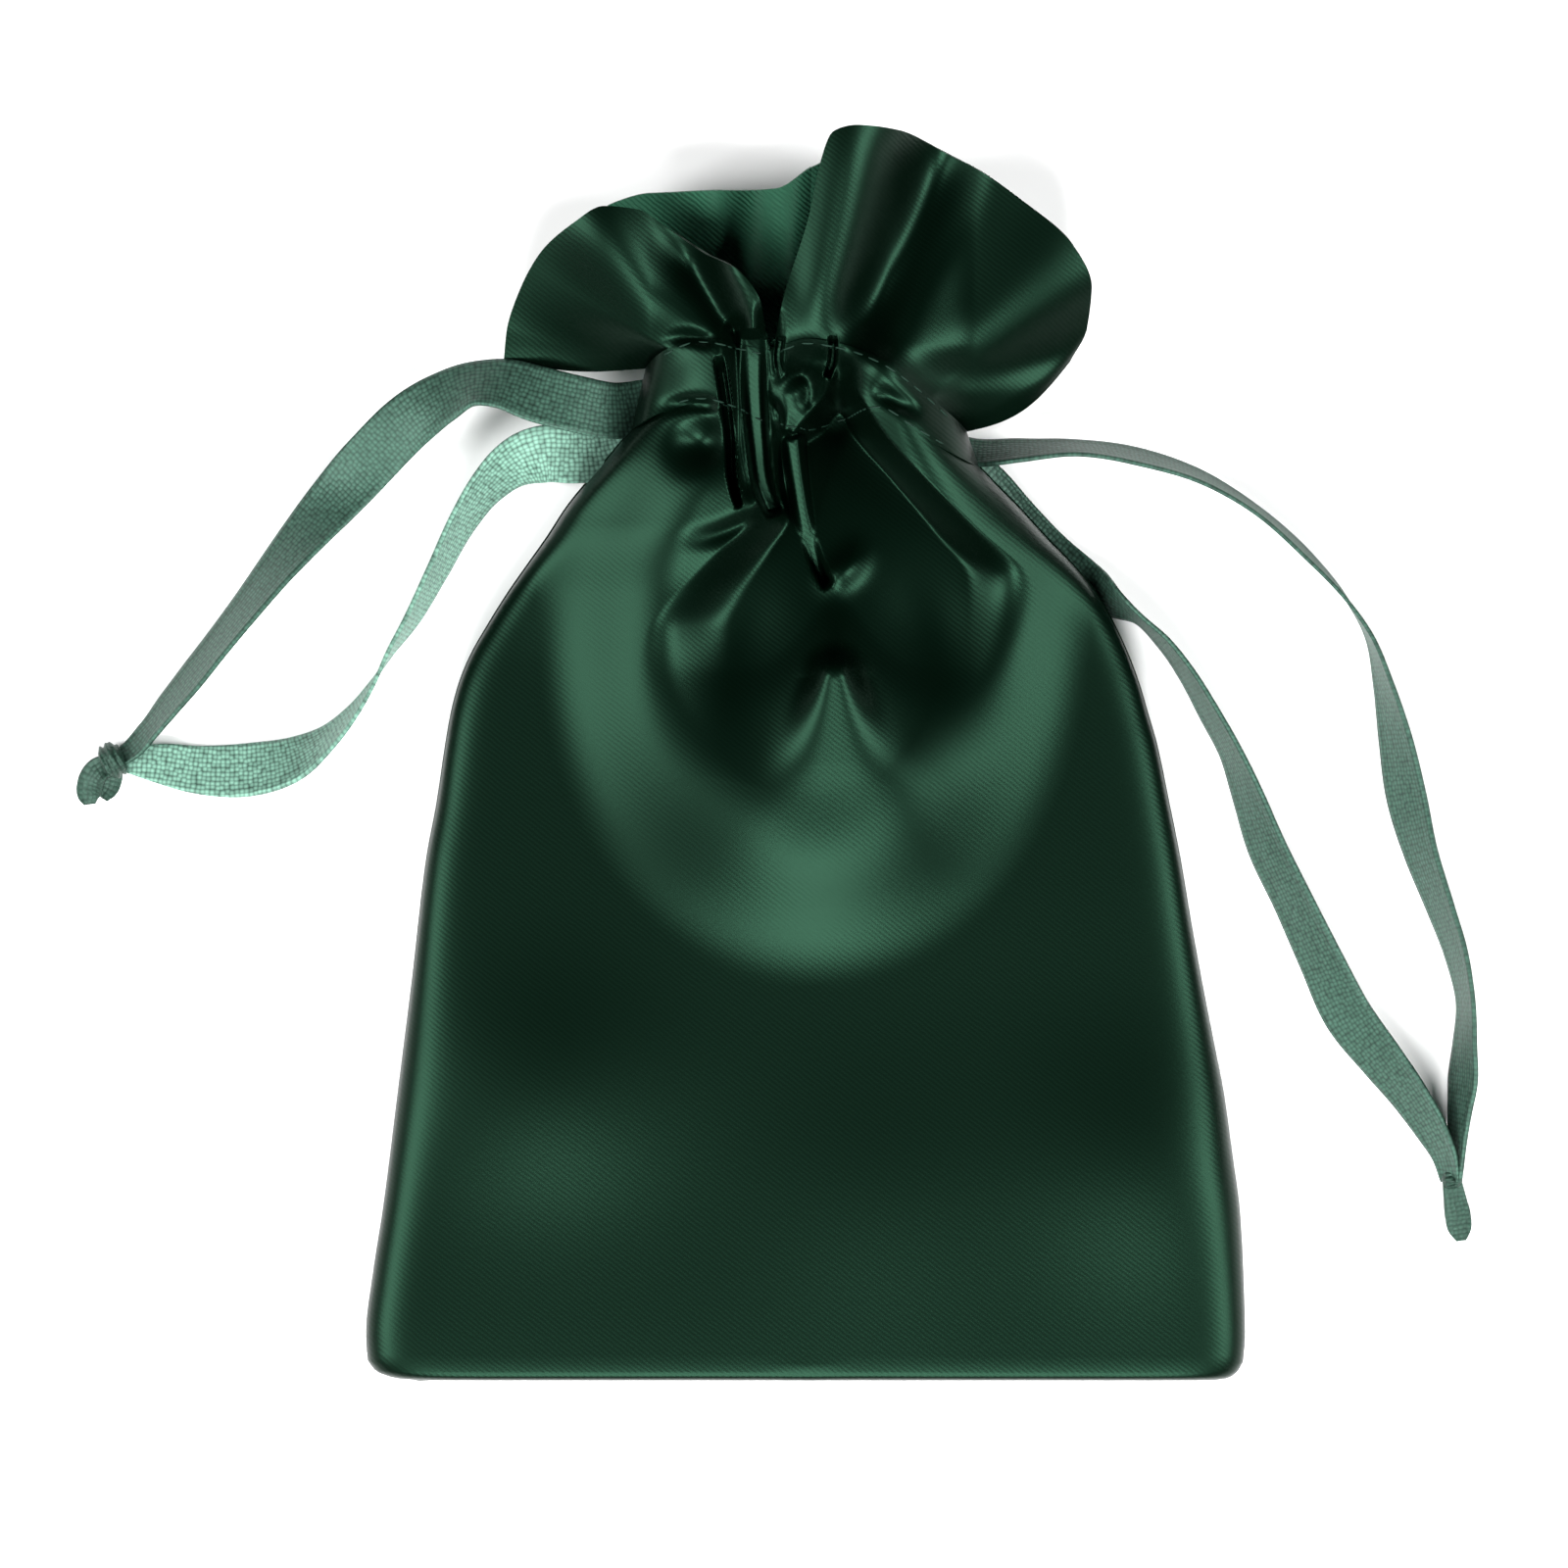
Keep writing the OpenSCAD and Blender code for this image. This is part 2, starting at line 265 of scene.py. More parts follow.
@dataclass(frozen=True)
class Fold:
    """One fold, dent or lapped edge in the cloth, along a path in plan.

    Args:
        path: (x, y) points along it.
        height: rise at the path's start and end, below zero for a valley; for a PLEAT
            or a RAMP, the Z of its flat top.
        width: half width at the start and end.
        profile: cross-section. PLEAT has a flat top and steep sides, and RAMP has soft sides.
        taper: share of the path over which it fades at its start and end.
    """

    path: Sequence[Point]
    height: Point
    width: Point
    profile: Profile = Profile.ROUND
    taper: Point = (0.25, 0.25)

    # Points along a path, reach of a fold in half widths, and how fast the sides of a flat top fall away.
    POINTS = 22
    REACH = 3.6
    FALL = 0.7

    def lay(self, z: Array, x: Array, y: Array, share: Array) -> Array:
        """Fold the cloth.

        Args:
            z: heights of the cloth.
            x, y: positions.
            share: how much of the fold there is at each position.

        Returns:
            The heights with the fold.
        """
        line = route(self.path, self.POINTS)
        margin = self.REACH * max(self.width)
        low, high = line.min(axis=0) - margin, line.max(axis=0) + margin
        close = (x > low[0]) & (x < high[0]) & (y > low[1]) & (y < high[1])
        out = np.array(z)
        if close.any():
            level, mask = self.near(x[close], y[close], line)
            rise = level if self.profile is Profile.ROUND else level - z[close]
            out[close] = z[close] + rise * mask * share[close]
        return out

    def near(self, x: Array, y: Array, line: Array) -> tuple[Array, Array]:
        """Level and strength of the fold at positions that it reaches.

        Args:
            x, y: positions.
            line: points along its path.

        Returns:
            The level and the strength, from 0 to 1.
        """
        share = np.linspace(0, 1, len(line))
        width, height = mix(*self.width, share), mix(*self.height, share)
        fade = np.ones(len(line))
        if self.taper[0] > 0:
            fade = fade * ease(share / self.taper[0])
        if self.taper[1] > 0:
            fade = fade * ease((1 - share) / self.taper[1])
        if self.profile is Profile.ROUND:
            step = np.linalg.norm(np.gradient(line, axis=0), axis=1)
            out = np.zeros(np.shape(x))
            for (px, py), h, w, ds in zip(line, height * fade, width, step):
                bell = np.exp(-0.5 * ((x - px) ** 2 + (y - py) ** 2) / w**2)
                out += h * ds / (w * math.sqrt(2 * math.pi)) * bell
            return out, np.ones(np.shape(x))
        gap = np.full(np.shape(x), np.inf)
        where = np.zeros(np.shape(x))
        for k in range(len(line) - 1):
            (ax, ay), (dx, dy) = line[k], line[k + 1] - line[k]
            t = np.clip(((x - ax) * dx + (y - ay) * dy) / (dx * dx + dy * dy), 0, 1)
            d = np.hypot(x - ax - t * dx, y - ay - t * dy)
            near = d < gap
            gap = np.where(near, d, gap)
            where = np.where(near, (k + t) / (len(line) - 1), where)
        side = np.exp(-self.FALL * (gap / np.interp(where, share, width)) ** self.profile.value)
        return np.interp(where, share, height), np.interp(where, share, fade) * side


class Front:
    """Height of the front of the sack over the plan: body, casing and frill as one drape."""

    # Height along the middle and along the side seams, for each Y.
    CENTRE = [
        (-71.3, 1.4), (-71.1, 3.8), (-70.7, 4.5), (-69.2, 4.8), (-50, 5.3), (-36, 5.7), (-28, 5.9),
        (-15, 6.3), (0, 6.6), (10, 6.9), (18, 7.8), (26, 10.4), (34, 12.4), (43, 13.0), (50, 13.6),
        (60, 15.0), (72, 16.8),
    ]
    RIM = [(-71.3, 0.8), (-50, 1.4), (-20, 2.8), (10, 4.0), (34, 5.4), (45, 5.8), (72, 6.4)]
    # Power that keeps the cloth high up to its side seams.
    EDGE = 18
    # The stuffed part below the neck: middle, half width, length towards the bottom and height.
    PUFF_MIDDLE = (0.8, 14)
    PUFF_HALF, PUFF_LENGTH, PUFF_HEIGHT = 25, 32, 5.4
    # Sides of the wide hollow below the gathers, as X for each Y.
    HOLLOW_LEFT = [
        (-2, -14.4), (8, -15), (14, -14.2), (18, -11.6), (23, -7.4), (27, -4.4), (34, -3.4), (42, -2.4),
    ]
    HOLLOW_RIGHT = [
        (-2, 23.4), (8, 24.6), (14, 24), (20, 22.4), (25, 17.6), (31, 11.8), (36, 7.4), (42, 3.6),
    ]
    # Height of its floor at Y = 0, the floor's fall along Y, and the width of its walls low and high up.
    HOLLOW_FLOOR, HOLLOW_FALL = 13.4, 0.26
    HOLLOW_WALLS = (11.0, 3.4)
    # The notch in its lower edge: middle, half width and depth.
    NOTCH_X, NOTCH_HALF, NOTCH_DEPTH = 3.3, 5.0, 8.5

    BODY_FOLDS = [
        Fold([(-36, -39), (-22, -37)], (3.0, 2.4), (9, 9), taper=(0, 0)),
        Fold([(46, -48), (30, -46)], (2.6, 2.0), (9, 9), taper=(0, 0)),
        Fold([(2, -50), (14, -50)], (1.4, 1.4), (9, 9), taper=(0, 0)),
        # The hollow deepens on both sides of a ridge.
        Fold([(-8.6, -1), (-8.6, 6), (-7.6, 13), (-5.0, 20)], (-2.2, -2.6), (4.6, 4.0), taper=(0.35, 0.3)),
        Fold([(15.4, -1), (15.4, 7), (14.0, 14), (10.6, 22)], (-2.2, -2.6), (4.8, 4.0), taper=(0.35, 0.3)),
        Fold([(3.6, -17), (3.2, 8.6)], (9.25, 15.4), (11.0, 2.2), Profile.RAMP, (0.65, 0)),
    ]
    NECK_FOLDS = [
        # Shoulders that run out of the casing.
        Fold([(6.6, 42), (10.5, 38.4), (15.6, 32.6), (21, 25)], (2.4, 0.6), (2.0, 4.0), taper=(0.1, 0.3)),
        Fold([(-12.4, 39), (-17, 35), (-22, 28)], (1.6, 0.6), (2.0, 4.0), taper=(0.1, 0.3)),
        Fold([(-15, 24.0), (-10, 24.6), (-4.8, 26.8)], (-0.7, -1.5), (0.8, 0.7), taper=(0.6, 0)),
        Fold([(-13.4, 35.4), (-10.2, 34.6)], (-4.4, -5.4), (2.3, 1.8), taper=(0, 0)),
        # Pleats, from left to right.
        Fold([(-7.5, 27.6), (-8.3, 30.5), (-8.7, 36), (-9.2, 40), (-9.9, 44.5)], (8.0, 13.6), (0.4, 0.55),
             Profile.PLEAT, (0.1, 0.1)),
        Fold([(-8.0, 48), (-7.6, 40), (-7.0, 32), (-6.0, 28)], (-4.0, -2.0), (0.7, 0.8), taper=(0, 0.1)),
        Fold([(-1.9, 27), (-2.8, 32), (-3.7, 38), (-4.1, 43), (-4.3, 50)], (-1.5, -3.5), (0.9, 0.7),
             taper=(0.1, 0.05)),
        Fold([(3.8, 45), (3.8, 40), (3.0, 36)], (-3.0, -2.0), (0.8, 1.2)),
        Fold([(-3.3, 26.8), (-4.7, 30), (-5.4, 35), (-5.9, 41.5), (-6.0, 47.5)], (5.4, 13.8), (1.0, 1.35),
             Profile.PLEAT, (0.04, 0.05)),
        Fold([(2.5, 18.8), (0.9, 22.3), (-0.2, 26.5), (-1.0, 31), (-1.7, 36.4)], (4.8, 11.2), (0.6, 1.2),
             Profile.PLEAT, (0.04, 0.05)),
        Fold([(2.4, 19.4), (4.4, 20.8), (6.4, 23.4)], (2.0, 1.2), (1.3, 1.2), taper=(0.1, 0.3)),
    ]
    CASING_FOLDS = [
        Fold([(-15.6, 42.2), (-13, 42.6), (-11.2, 42.6)], (1.4, 1.9), (2.2, 2.6)),
        Fold([(-17, 38.6), (-13, 39.2), (-9.8, 38.9)], (-0.9, -1.3), (0.6, 0.6), taper=(0.5, 0.1)),
        Fold([(-17, 46.2), (-13, 46.8), (-10.4, 46.2)], (-0.8, -1.2), (0.6, 0.6), taper=(0.5, 0.1)),
        # The flap of a box pleat, with its pocket.
        Fold([(-1.9, 36.2), (-1.2, 38.4), (-1.0, 40.4)], (10.6, 12.6), (0.7, 2.9), Profile.PLEAT, (0.05, 0)),
        Fold([(0.2, 39.0), (0.6, 41.2)], (-1.0, -1.8), (0.7, 0.9), taper=(0.1, 0)),
        Fold([(-2.0, 43.8), (0.2, 43.9), (2.2, 43.8)], (-3.6, -3.6), (1.3, 1.3), taper=(0.05, 0.05)),
        Fold([(-2.9, 46.6), (-3.1, 44), (-2.6, 42.2)], (13.8, 13), (0.4, 0.4), Profile.PLEAT, (0.05, 0.05)),
        Fold([(3.0, 46.6), (2.9, 44), (2.3, 42.2)], (13.8, 13), (0.4, 0.4), Profile.PLEAT, (0.05, 0.05)),
        Fold([(5.0, 44.4), (8, 43.6), (10.8, 41.4)], (2.6, 1.4), (1.8, 1.6)),
        Fold([(7.4, 40.8), (10, 39.4), (13, 37.6)], (-1.4, -0.8), (0.7, 0.6), taper=(0.3, 0.4)),
    ]
    FRILL_FOLDS = [
        Fold([(-13.4, 45), (-16.4, 49), (-20, 54), (-26, 62)], (1.6, 4.6), (2.2, 4.4), taper=(0.2, 0)),
        Fold([(-19, 42), (-26, 43.5), (-34, 46)], (-0.8, -2.6), (2.0, 3.4), taper=(0.2, 0)),
        Fold([(-8.6, 47), (-10.4, 51), (-13.6, 57)], (-2.6, -4.4), (1.2, 2.0), taper=(0.1, 0)),
        Fold([(-5.4, 46.5), (-5.8, 51), (-8.6, 54.2), (-12, 56)], (1.8, 2.4), (1.6, 2.2), taper=(0.1, 0.2)),
        Fold([(1.0, 46.5), (2.4, 54), (4.0, 63), (5.4, 72)], (1.4, 2.6), (2.0, 4.2), taper=(0.15, 0)),
        Fold([(5.4, 46), (9.4, 54), (12.6, 62), (15.0, 70)], (-3.4, -7.0), (2.0, 3.4), taper=(0.15, 0)),
        Fold([(10, 42.6), (17, 46), (25, 51.5), (32, 57)], (1.2, 3.0), (2.4, 5.4), taper=(0.2, 0)),
        Fold([(14, 39), (21, 39.6), (28, 42), (34, 45)], (-2.0, -6.0), (2.2, 4.0), taper=(0.2, 0)),
    ]

    @classmethod
    def height(cls, x: Array, y: Array, half: Array) -> Array:
        """Height of the outer face.

        Args:
            x, y: positions.
            half: half width of the cloth at each position, on that side.

        Returns:
            Z of the outer face.
        """
        t = np.clip(np.abs(x) / half, 0, 1)
        rim = spline(cls.RIM, y)
        across = np.maximum(1 - t**cls.EDGE, 0) ** 0.5
        z = mix(rim, spline(cls.CENTRE, y), across) + cls.puff(x, y) * across
        z = z - soft_excess(z - cls.HOLLOW_FLOOR + cls.HOLLOW_FALL * y, 2.0) * cls.hollow(x, y) * across
        for fold in cls.BODY_FOLDS:
            z = fold.lay(z, x, y, across * (1 - ramp(y, 33, 42)))
        floor = rim * 0.5 + 0.7 * ramp(y, 32, 37)
        z = cls.keep_above(z, floor)
        for fold in cls.NECK_FOLDS + cls.CASING_FOLDS:
            z = fold.lay(z, x, y, ramp(y, 10, 18))
        for fold in cls.FRILL_FOLDS:
            z = fold.lay(z, x, y, ramp(y, 40, 46))
        return cls.keep_above(z, floor)

    @classmethod
    def puff(cls, x: Array, y: Array) -> Array:
        """Rise of the stuffed part, which ends in a round shoulder over the flatter bottom part.

        Args:
            x, y: positions.

        Returns:
            The rise in the middle of the cloth.
        """
        half = cls.PUFF_HALF * (1 - 0.42 * ramp(y, 18, 40))
        r = np.hypot((x - cls.PUFF_MIDDLE[0]) / half, np.minimum(y - cls.PUFF_MIDDLE[1], 0) / cls.PUFF_LENGTH)
        return cls.PUFF_HEIGHT * (1 - ramp(r, 0.6, 1.26)) * (1 - 0.3 * ramp(y, 12, 42))

    @classmethod
    def hollow(cls, x: Array, y: Array) -> Array:
        """Strength of the hollow below the gathers.

        Args:
            x, y: positions.

        Returns:
            The strength, from 0 to 1.
        """
        wall = mix(*cls.HOLLOW_WALLS, ramp(y, 6, 34))
        left, right = spline(cls.HOLLOW_LEFT, y), spline(cls.HOLLOW_RIGHT, y)
        inside = ease((x - left) / wall + 0.4) * ease((right - x) / wall + 0.4)
        low = cls.NOTCH_DEPTH * np.exp(-(((x - cls.NOTCH_X) / cls.NOTCH_HALF) ** 2)) - 2.0
        # It fades out at the casing, along a slanted line.
        return inside * ease((y - low) / 12) * (1 - ease((y - 35) / 6 - 0.1 * x))

    @staticmethod
    def keep_above(z: Array, floor: Array) -> Array:
        """Raise heights softly so that they stay above a floor.

        Args:
            z: heights.
            floor: lowest height at each place.

        Returns:
            The heights, raised where they were too low.
        """
        return floor + soft_excess(z - floor, 4.0)

    @classmethod
    def facing(cls, grid: Array, side: Side) -> Array:
        """Normals of the drape at grid points, the same from either side of the split.

        Args:
            grid: rows x columns x 3 points on it.
            side: which side they are on.

        Returns:
            Unit normals.
        """
        x, y = grid[..., 0], grid[..., 1]
        half = np.maximum(Outline.half(side, y), np.abs(x) + 0.02)
        step = 0.06  # between the two heights that give a slope
        dx = cls.height(x + step, y, half) - cls.height(x - step, y, half)
        dy = cls.height(x, y + step, half) - cls.height(x, y - step, half)
        n = np.stack([-dx / (2 * step), -dy / (2 * step), np.ones_like(dx)], axis=2)
        return n / np.linalg.norm(n, axis=2, keepdims=True)


class Outline:
    """Outline of the cloth in plan."""

    # Half width for each Y.
    LEFT = [
        (-71.3, 44.0), (-71.0, 47.0), (-70.2, 49.0), (-69.0, 49.9), (-66, 50.1), (-59, 49.3), (-52, 48.2),
        (-39, 46.5), (-26, 44.8), (-12, 43.1), (-5.6, 41.9), (1, 40.9), (4.4, 40.3), (7.8, 39.4),
        (11, 38.1), (14.5, 36.1), (18, 33.9), (21, 31.8), (24.5, 29.3), (28, 27.0), (33, 22.8),
        (37, 19.4), (39, 17.4), (43, 15.8),
    ]
    RIGHT = [
        (-71.3, 46.6), (-71.0, 48.2), (-70.2, 49.2), (-69.0, 49.8), (-66, 50.0), (-59, 49.8), (-52, 49.4),
        (-46, 48.6), (-39, 47.6), (-32, 46.2), (-26, 45.0), (-19, 43.7), (-12, 42.5), (-5.6, 41.2),
        (1, 39.8), (4.4, 38.8), (7.8, 37.8), (11, 36.6), (14.5, 35.0), (18, 33.0), (21, 30.6),
        (24.5, 27.2), (28, 24.0), (31, 21.0), (34, 18.4), (37, 17.4), (43, 17.0),
    ]
    # Lower and upper edge of the casing, as Y for each X.
    CASING_LOW = [(-20, 36.4), (-16, 38.4), (-12, 39.3), (-8, 38.4), (-4, 36.8), (0, 36.2), (4, 37.4),
                  (8, 38.2), (12, 36.0), (16, 33.8), (19, 32.4)]
    CASING_HIGH = [(-20, 42.0), (-16, 45.2), (-12, 46.6), (-8, 46.0), (-4, 45.4), (0, 46.4), (4, 45.8),
                   (8, 44.2), (12, 41.6), (16, 38.2), (19, 35.8)]

    @classmethod
    def half(cls, side: Side, y: Array) -> Array:
        """Half width at a height.

        Args:
            side: which side.
            y: Y positions.

        Returns:
            The distance from X = 0 to the side seam.
        """
        return spline(cls.LEFT if side is Side.LEFT else cls.RIGHT, y)

    @classmethod
    def split(cls, y: Array) -> Array:
        """X of the line where the halves meet.

        Args:
            y: Y positions.

        Returns:
            The middle of the sack at the bottom, and the deepest pleat at the neck.
        """
        return SPLIT_X * ramp(y, 5, 35)


@dataclass
class Grid:
    """A rectangular grid of points that becomes a mesh.

    Args:
        points: rows x columns x 3.
    """

    points: Array

    def faces(self, start: int = 0, flip: bool = False) -> list[tuple[int, ...]]:
        """Quads of the grid.

        Args:
            start: index of its first point in the mesh.
            flip: whether to turn them over.

        Returns:
            The quads.
        """
        rows, cols = self.points.shape[:2]
        i = (np.arange(rows - 1)[:, None] * cols + np.arange(cols - 1)[None, :]).ravel() + start
        quads = np.stack([i, i + 1, i + cols + 1, i + cols], axis=1)
        return [tuple(q) for q in (quads[:, ::-1] if flip else quads).tolist()]

    def normals(self) -> Array:
        """Unit normals at its points, from the neighbouring ones."""
        across = np.gradient(self.points, axis=1)
        along = np.gradient(self.points, axis=0)
        n = np.cross(across, along)
        return n / np.maximum(np.linalg.norm(n, axis=2, keepdims=True), 1e-9)

    def border(self) -> list[int]:
        """Indices round its edge, anticlockwise seen from the side that its normals point to."""
        rows, cols = self.points.shape[:2]
        index = np.arange(rows * cols).reshape(rows, cols)
        return np.concatenate([index[0], index[1:, -1], index[-1, -2::-1], index[-2:0:-1, 0]]).tolist()


def mesh_object(name: str, verts: Array, faces: list[tuple[int, ...]],
                smooth: bool = True) -> bpy.types.Object:
    """A mesh object at the origin.

    Args:
        name: name of the object.
        verts: vertices in millimetres.
        faces: faces.
        smooth: whether to shade it smooth.

    Returns:
        The object, linked to the scene.
    """
    mesh = bpy.data.meshes.new(name)
    mesh.from_pydata((np.asarray(verts).reshape(-1, 3) * MM).tolist(), [], faces)
    mesh.update()
    if smooth:
        mesh.shade_smooth()
    else:
        mesh.shade_flat()
    obj = bpy.data.objects.new(name, mesh)
    bpy.context.scene.collection.objects.link(obj)
    return obj


def corners(obj: bpy.types.Object) -> Array:
    """Vertex of each face corner.

    Args:
        obj: a mesh object.

    Returns:
        The vertex indices.
    """
    index = np.empty(len(obj.data.loops), dtype=np.int32)
    obj.data.loops.foreach_get("vertex_index", index)
    return index


def sheet_object(name: str, side: Side, points: Array, thick: float, finish: bpy.types.Material,
                 facing: Array | None = None) -> bpy.types.Object:
    """A closed skin: a grid, its other face and a rim between them.

    Args:
        name: name of the object.
        side: side of the sack; on the left the columns are turned round, so that the faces point out.
        points: rows x columns x 3, the outer face.
        thick: thickness of the cloth.
        finish: its material.
        facing: normals to shade it with, where they aren't the grid's own, so that two skins meet unseen.

    Returns:
        The object.
    """
    if side is Side.LEFT:
        points = points[:, ::-1]
        facing = None if facing is None else facing[:, ::-1]
    grid = Grid(points)
    facing = grid.normals() if facing is None else facing
    verts = np.concatenate([points.reshape(-1, 3), (points - facing * thick).reshape(-1, 3)])
    count = len(verts) // 2
    edge = grid.border()
    rim = [(a, a + count, b + count, b) for a, b in zip(edge, edge[1:] + edge[:1])]
    obj = mesh_object(name, verts, grid.faces() + grid.faces(count, True) + rim)
    shade = np.concatenate([facing.reshape(-1, 3), -facing.reshape(-1, 3)])[corners(obj)]
    for face in obj.data.polygons[2 * len(grid.faces()) :]:
        shade[face.loop_start : face.loop_start + 4] = face.normal
    obj.data.normals_split_custom_set(shade.tolist())
    obj.data.materials.append(finish)
    return obj


def tube_object(name: str, rings: Array, uv: Array) -> bpy.types.Object:
    """A closed tube with its own UV, which the weave follows.

    Args:
        name: name of the object.
        rings: rings x points around x 3.
        uv: the cloth's own coordinates at each point.

    Returns:
        The object.
    """
    count, around = rings.shape[:2]
    last = (count - 1) * around
    faces = []
    for start in range(0, last, around):
        for j in range(around):
            a, b = start + j, start + (j + 1) % around
            faces.append((a + around, b + around, b, a))
    faces += [tuple(range(around)), tuple(range(last + around - 1, last - 1, -1))]
    obj = mesh_object(name, rings, faces)
    layer = obj.data.uv_layers.new(name="cloth")
    layer.data.foreach_set("uv", (uv * MM)[corners(obj)].ravel())
    return obj


def tie(obj: bpy.types.Object, side: Side, slanted: bool = False) -> None:
    """Bake the cloth's transform into its mesh. The ends of the pull, at the split and at the side of the
    neck, are worked out but not used, and nothing ties the cloth to the sack or to a body.

    Args:
        obj: the cloth.
        side: side that it is on.
        slanted: whether the pull also fades out from the neck down to the bottom, as in a panel.
    """
    start = (SPLIT_X * MM, NECK_Y, 0.0)
    end = (side.value * NECK_HALF, NECK_Y, 0.0)
    if slanted:
        reach = end[0] - start[0]
        end = (start[0] + reach * 0.8, NECK_Y + abs(reach) * 0.4, 0.0)
    side.body
    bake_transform(obj)


class Nodes:
    """Short way to build a material's node tree.

    Args:
        name: name of the material.
    """

    RELIEF = 0.0002  # height of the relief in metres

    def __init__(self, name: str) -> None:
        """Start the material and its tree."""
        self.material = bpy.data.materials.new(name)
        self.material.use_nodes = True
        self.tree = self.material.node_tree
        self.shader = self.tree.nodes["Principled BSDF"]

    def add(self, kind: str, **values: object) -> bpy.types.Node:
        """Add a node.

        Args:
            kind: node type.
            values: attributes, or input sockets by name with _ for a space.

        Returns:
            The node.
        """
        node = self.tree.nodes.new(kind)
        for key, value in values.items():
            if hasattr(node, key):
                setattr(node, key, value)
            else:
                node.inputs[key.replace("_", " ")].default_value = value
        return node

    def link(self, out: bpy.types.NodeSocket, into: bpy.types.NodeSocket) -> None:
        """Join two sockets.

        Args:
            out: socket that gives the value.
            into: socket that takes it.
        """
        self.tree.links.new(out, into)

    def relief(self, height: bpy.types.NodeSocket, strength: float, **values: object) -> None:
        """Put a relief on the surface.

        Args:
            height: height of the relief.
            strength: strength of the relief.
            values: as for add.
        """
        bump = self.add("ShaderNodeBump", Strength=strength, Distance=self.RELIEF, **values)
        self.link(height, bump.inputs["Height"])
        self.link(bump.outputs["Normal"], self.shader.inputs["Normal"])

    def surface(self, **values: object) -> bpy.types.Material:
        """Set inputs of the surface shader.

        Args:
            values: input sockets by name with _ for a space.

        Returns:
            The material.
        """
        for key, value in values.items():
            self.shader.inputs[key.replace("_", " ")].default_value = value
        return self.material


@dataclass(frozen=True)
class Satin:
    """Satin cloth: a dark dye under a soft tinted sheen.

    Args:
        name: name of the material.
        dye: base colour.
        gloss: specular level.
        rough: roughness.
        twill: strength of the diagonal weave in the relief.
    """

    name: str
    dye: tuple[float, float, float] = (0.0001, 0.0012, 0.0005)
    gloss: float = 0.14
    rough: float = 0.39
    twill: float = 0.08

    # Direction of the diagonal weave in degrees, its scale and the scale of the fine grain over it.
    DIAGONAL = -52
    WEAVE, GRAIN = 680.0, 1800.0
    SHEEN = (0.28, 1.0, 0.58, 1)

    def build(self) -> bpy.types.Material:
        """The finished material."""
        n = Nodes(self.name)
        place = n.add("ShaderNodeTexCoord").outputs["Object"]
        turned = n.add("ShaderNodeMapping", Rotation=(0, 0, math.radians(self.DIAGONAL)))
        n.link(place, turned.inputs["Vector"])
        weave = n.add("ShaderNodeTexWave", wave_type="BANDS", bands_direction="X", Scale=self.WEAVE,
                      Distortion=1.5, Detail=1.0)
        n.link(turned.outputs["Vector"], weave.inputs["Vector"])
        grain = n.add("ShaderNodeTexNoise", Scale=self.GRAIN, Detail=2.0)
        n.link(place, grain.inputs["Vector"])
        blend = n.add("ShaderNodeMix", data_type="FLOAT")
        blend.inputs[0].default_value = 0.5
        n.link(weave.outputs["Fac"], blend.inputs[2])
        n.link(grain.outputs["Fac"], blend.inputs[3])
        n.relief(blend.outputs[0], self.twill)
        return n.surface(Base_Color=(*self.dye, 1), Roughness=self.rough, Specular_IOR_Level=self.gloss,
                         Coat_Weight=0.03, Coat_Roughness=0.40, Specular_Tint=self.SHEEN)


@dataclass(frozen=True)
class RibbonWeave:
    """Woven ribbon: small cells in rows, brighter threads and dark gaps.

    Args:
        name: name of the material.
        dye: colour of the threads.
    """

    name: str
    dye: tuple[float, float, float] = (0.016, 0.038, 0.0275)

    # Cells per metre, how irregular they are, and the share of the dye in threads and gaps.
    CELLS, WANDER = 1900.0, 0.35
    THREAD, GAP = 1.9, 0.25
    SHEEN = (0.6, 1.0, 0.82, 1)

    def build(self) -> bpy.types.Material:
        """The finished material."""
        n = Nodes(self.name)
        uv = n.add("ShaderNodeUVMap", uv_map="cloth").outputs["UV"]
        cells = n.add("ShaderNodeTexVoronoi", feature="F1", Scale=self.CELLS, Randomness=self.WANDER)
        n.link(uv, cells.inputs["Vector"])
        ramp_node = n.add("ShaderNodeValToRGB")
        for stop, place, share in zip(ramp_node.color_ramp.elements, (0.15, 0.75), (self.THREAD, self.GAP)):
            stop.position = place
            stop.color = (*[c * share for c in self.dye], 1)
        n.link(cells.outputs["Distance"], ramp_node.inputs["Fac"])
        n.link(ramp_node.outputs["Color"], n.shader.inputs["Base Color"])
        n.relief(cells.outputs["Distance"], 0.35, invert=True)
        return n.surface(Roughness=0.5, Specular_IOR_Level=0.4, Specular_Tint=self.SHEEN)


@dataclass(frozen=True)
class Plain:
    """A plain dull surface.

    Args:
        name: name of the material.
        color: its colour.
        rough: roughness.
    """

    name: str
    color: tuple[float, float, float]
    rough: float = 0.7

    def build(self) -> bpy.types.Material:
        """The finished material."""
        n = Nodes(self.name)
        return n.surface(Base_Color=(*self.color, 1), Roughness=self.rough, Specular_IOR_Level=0.2)


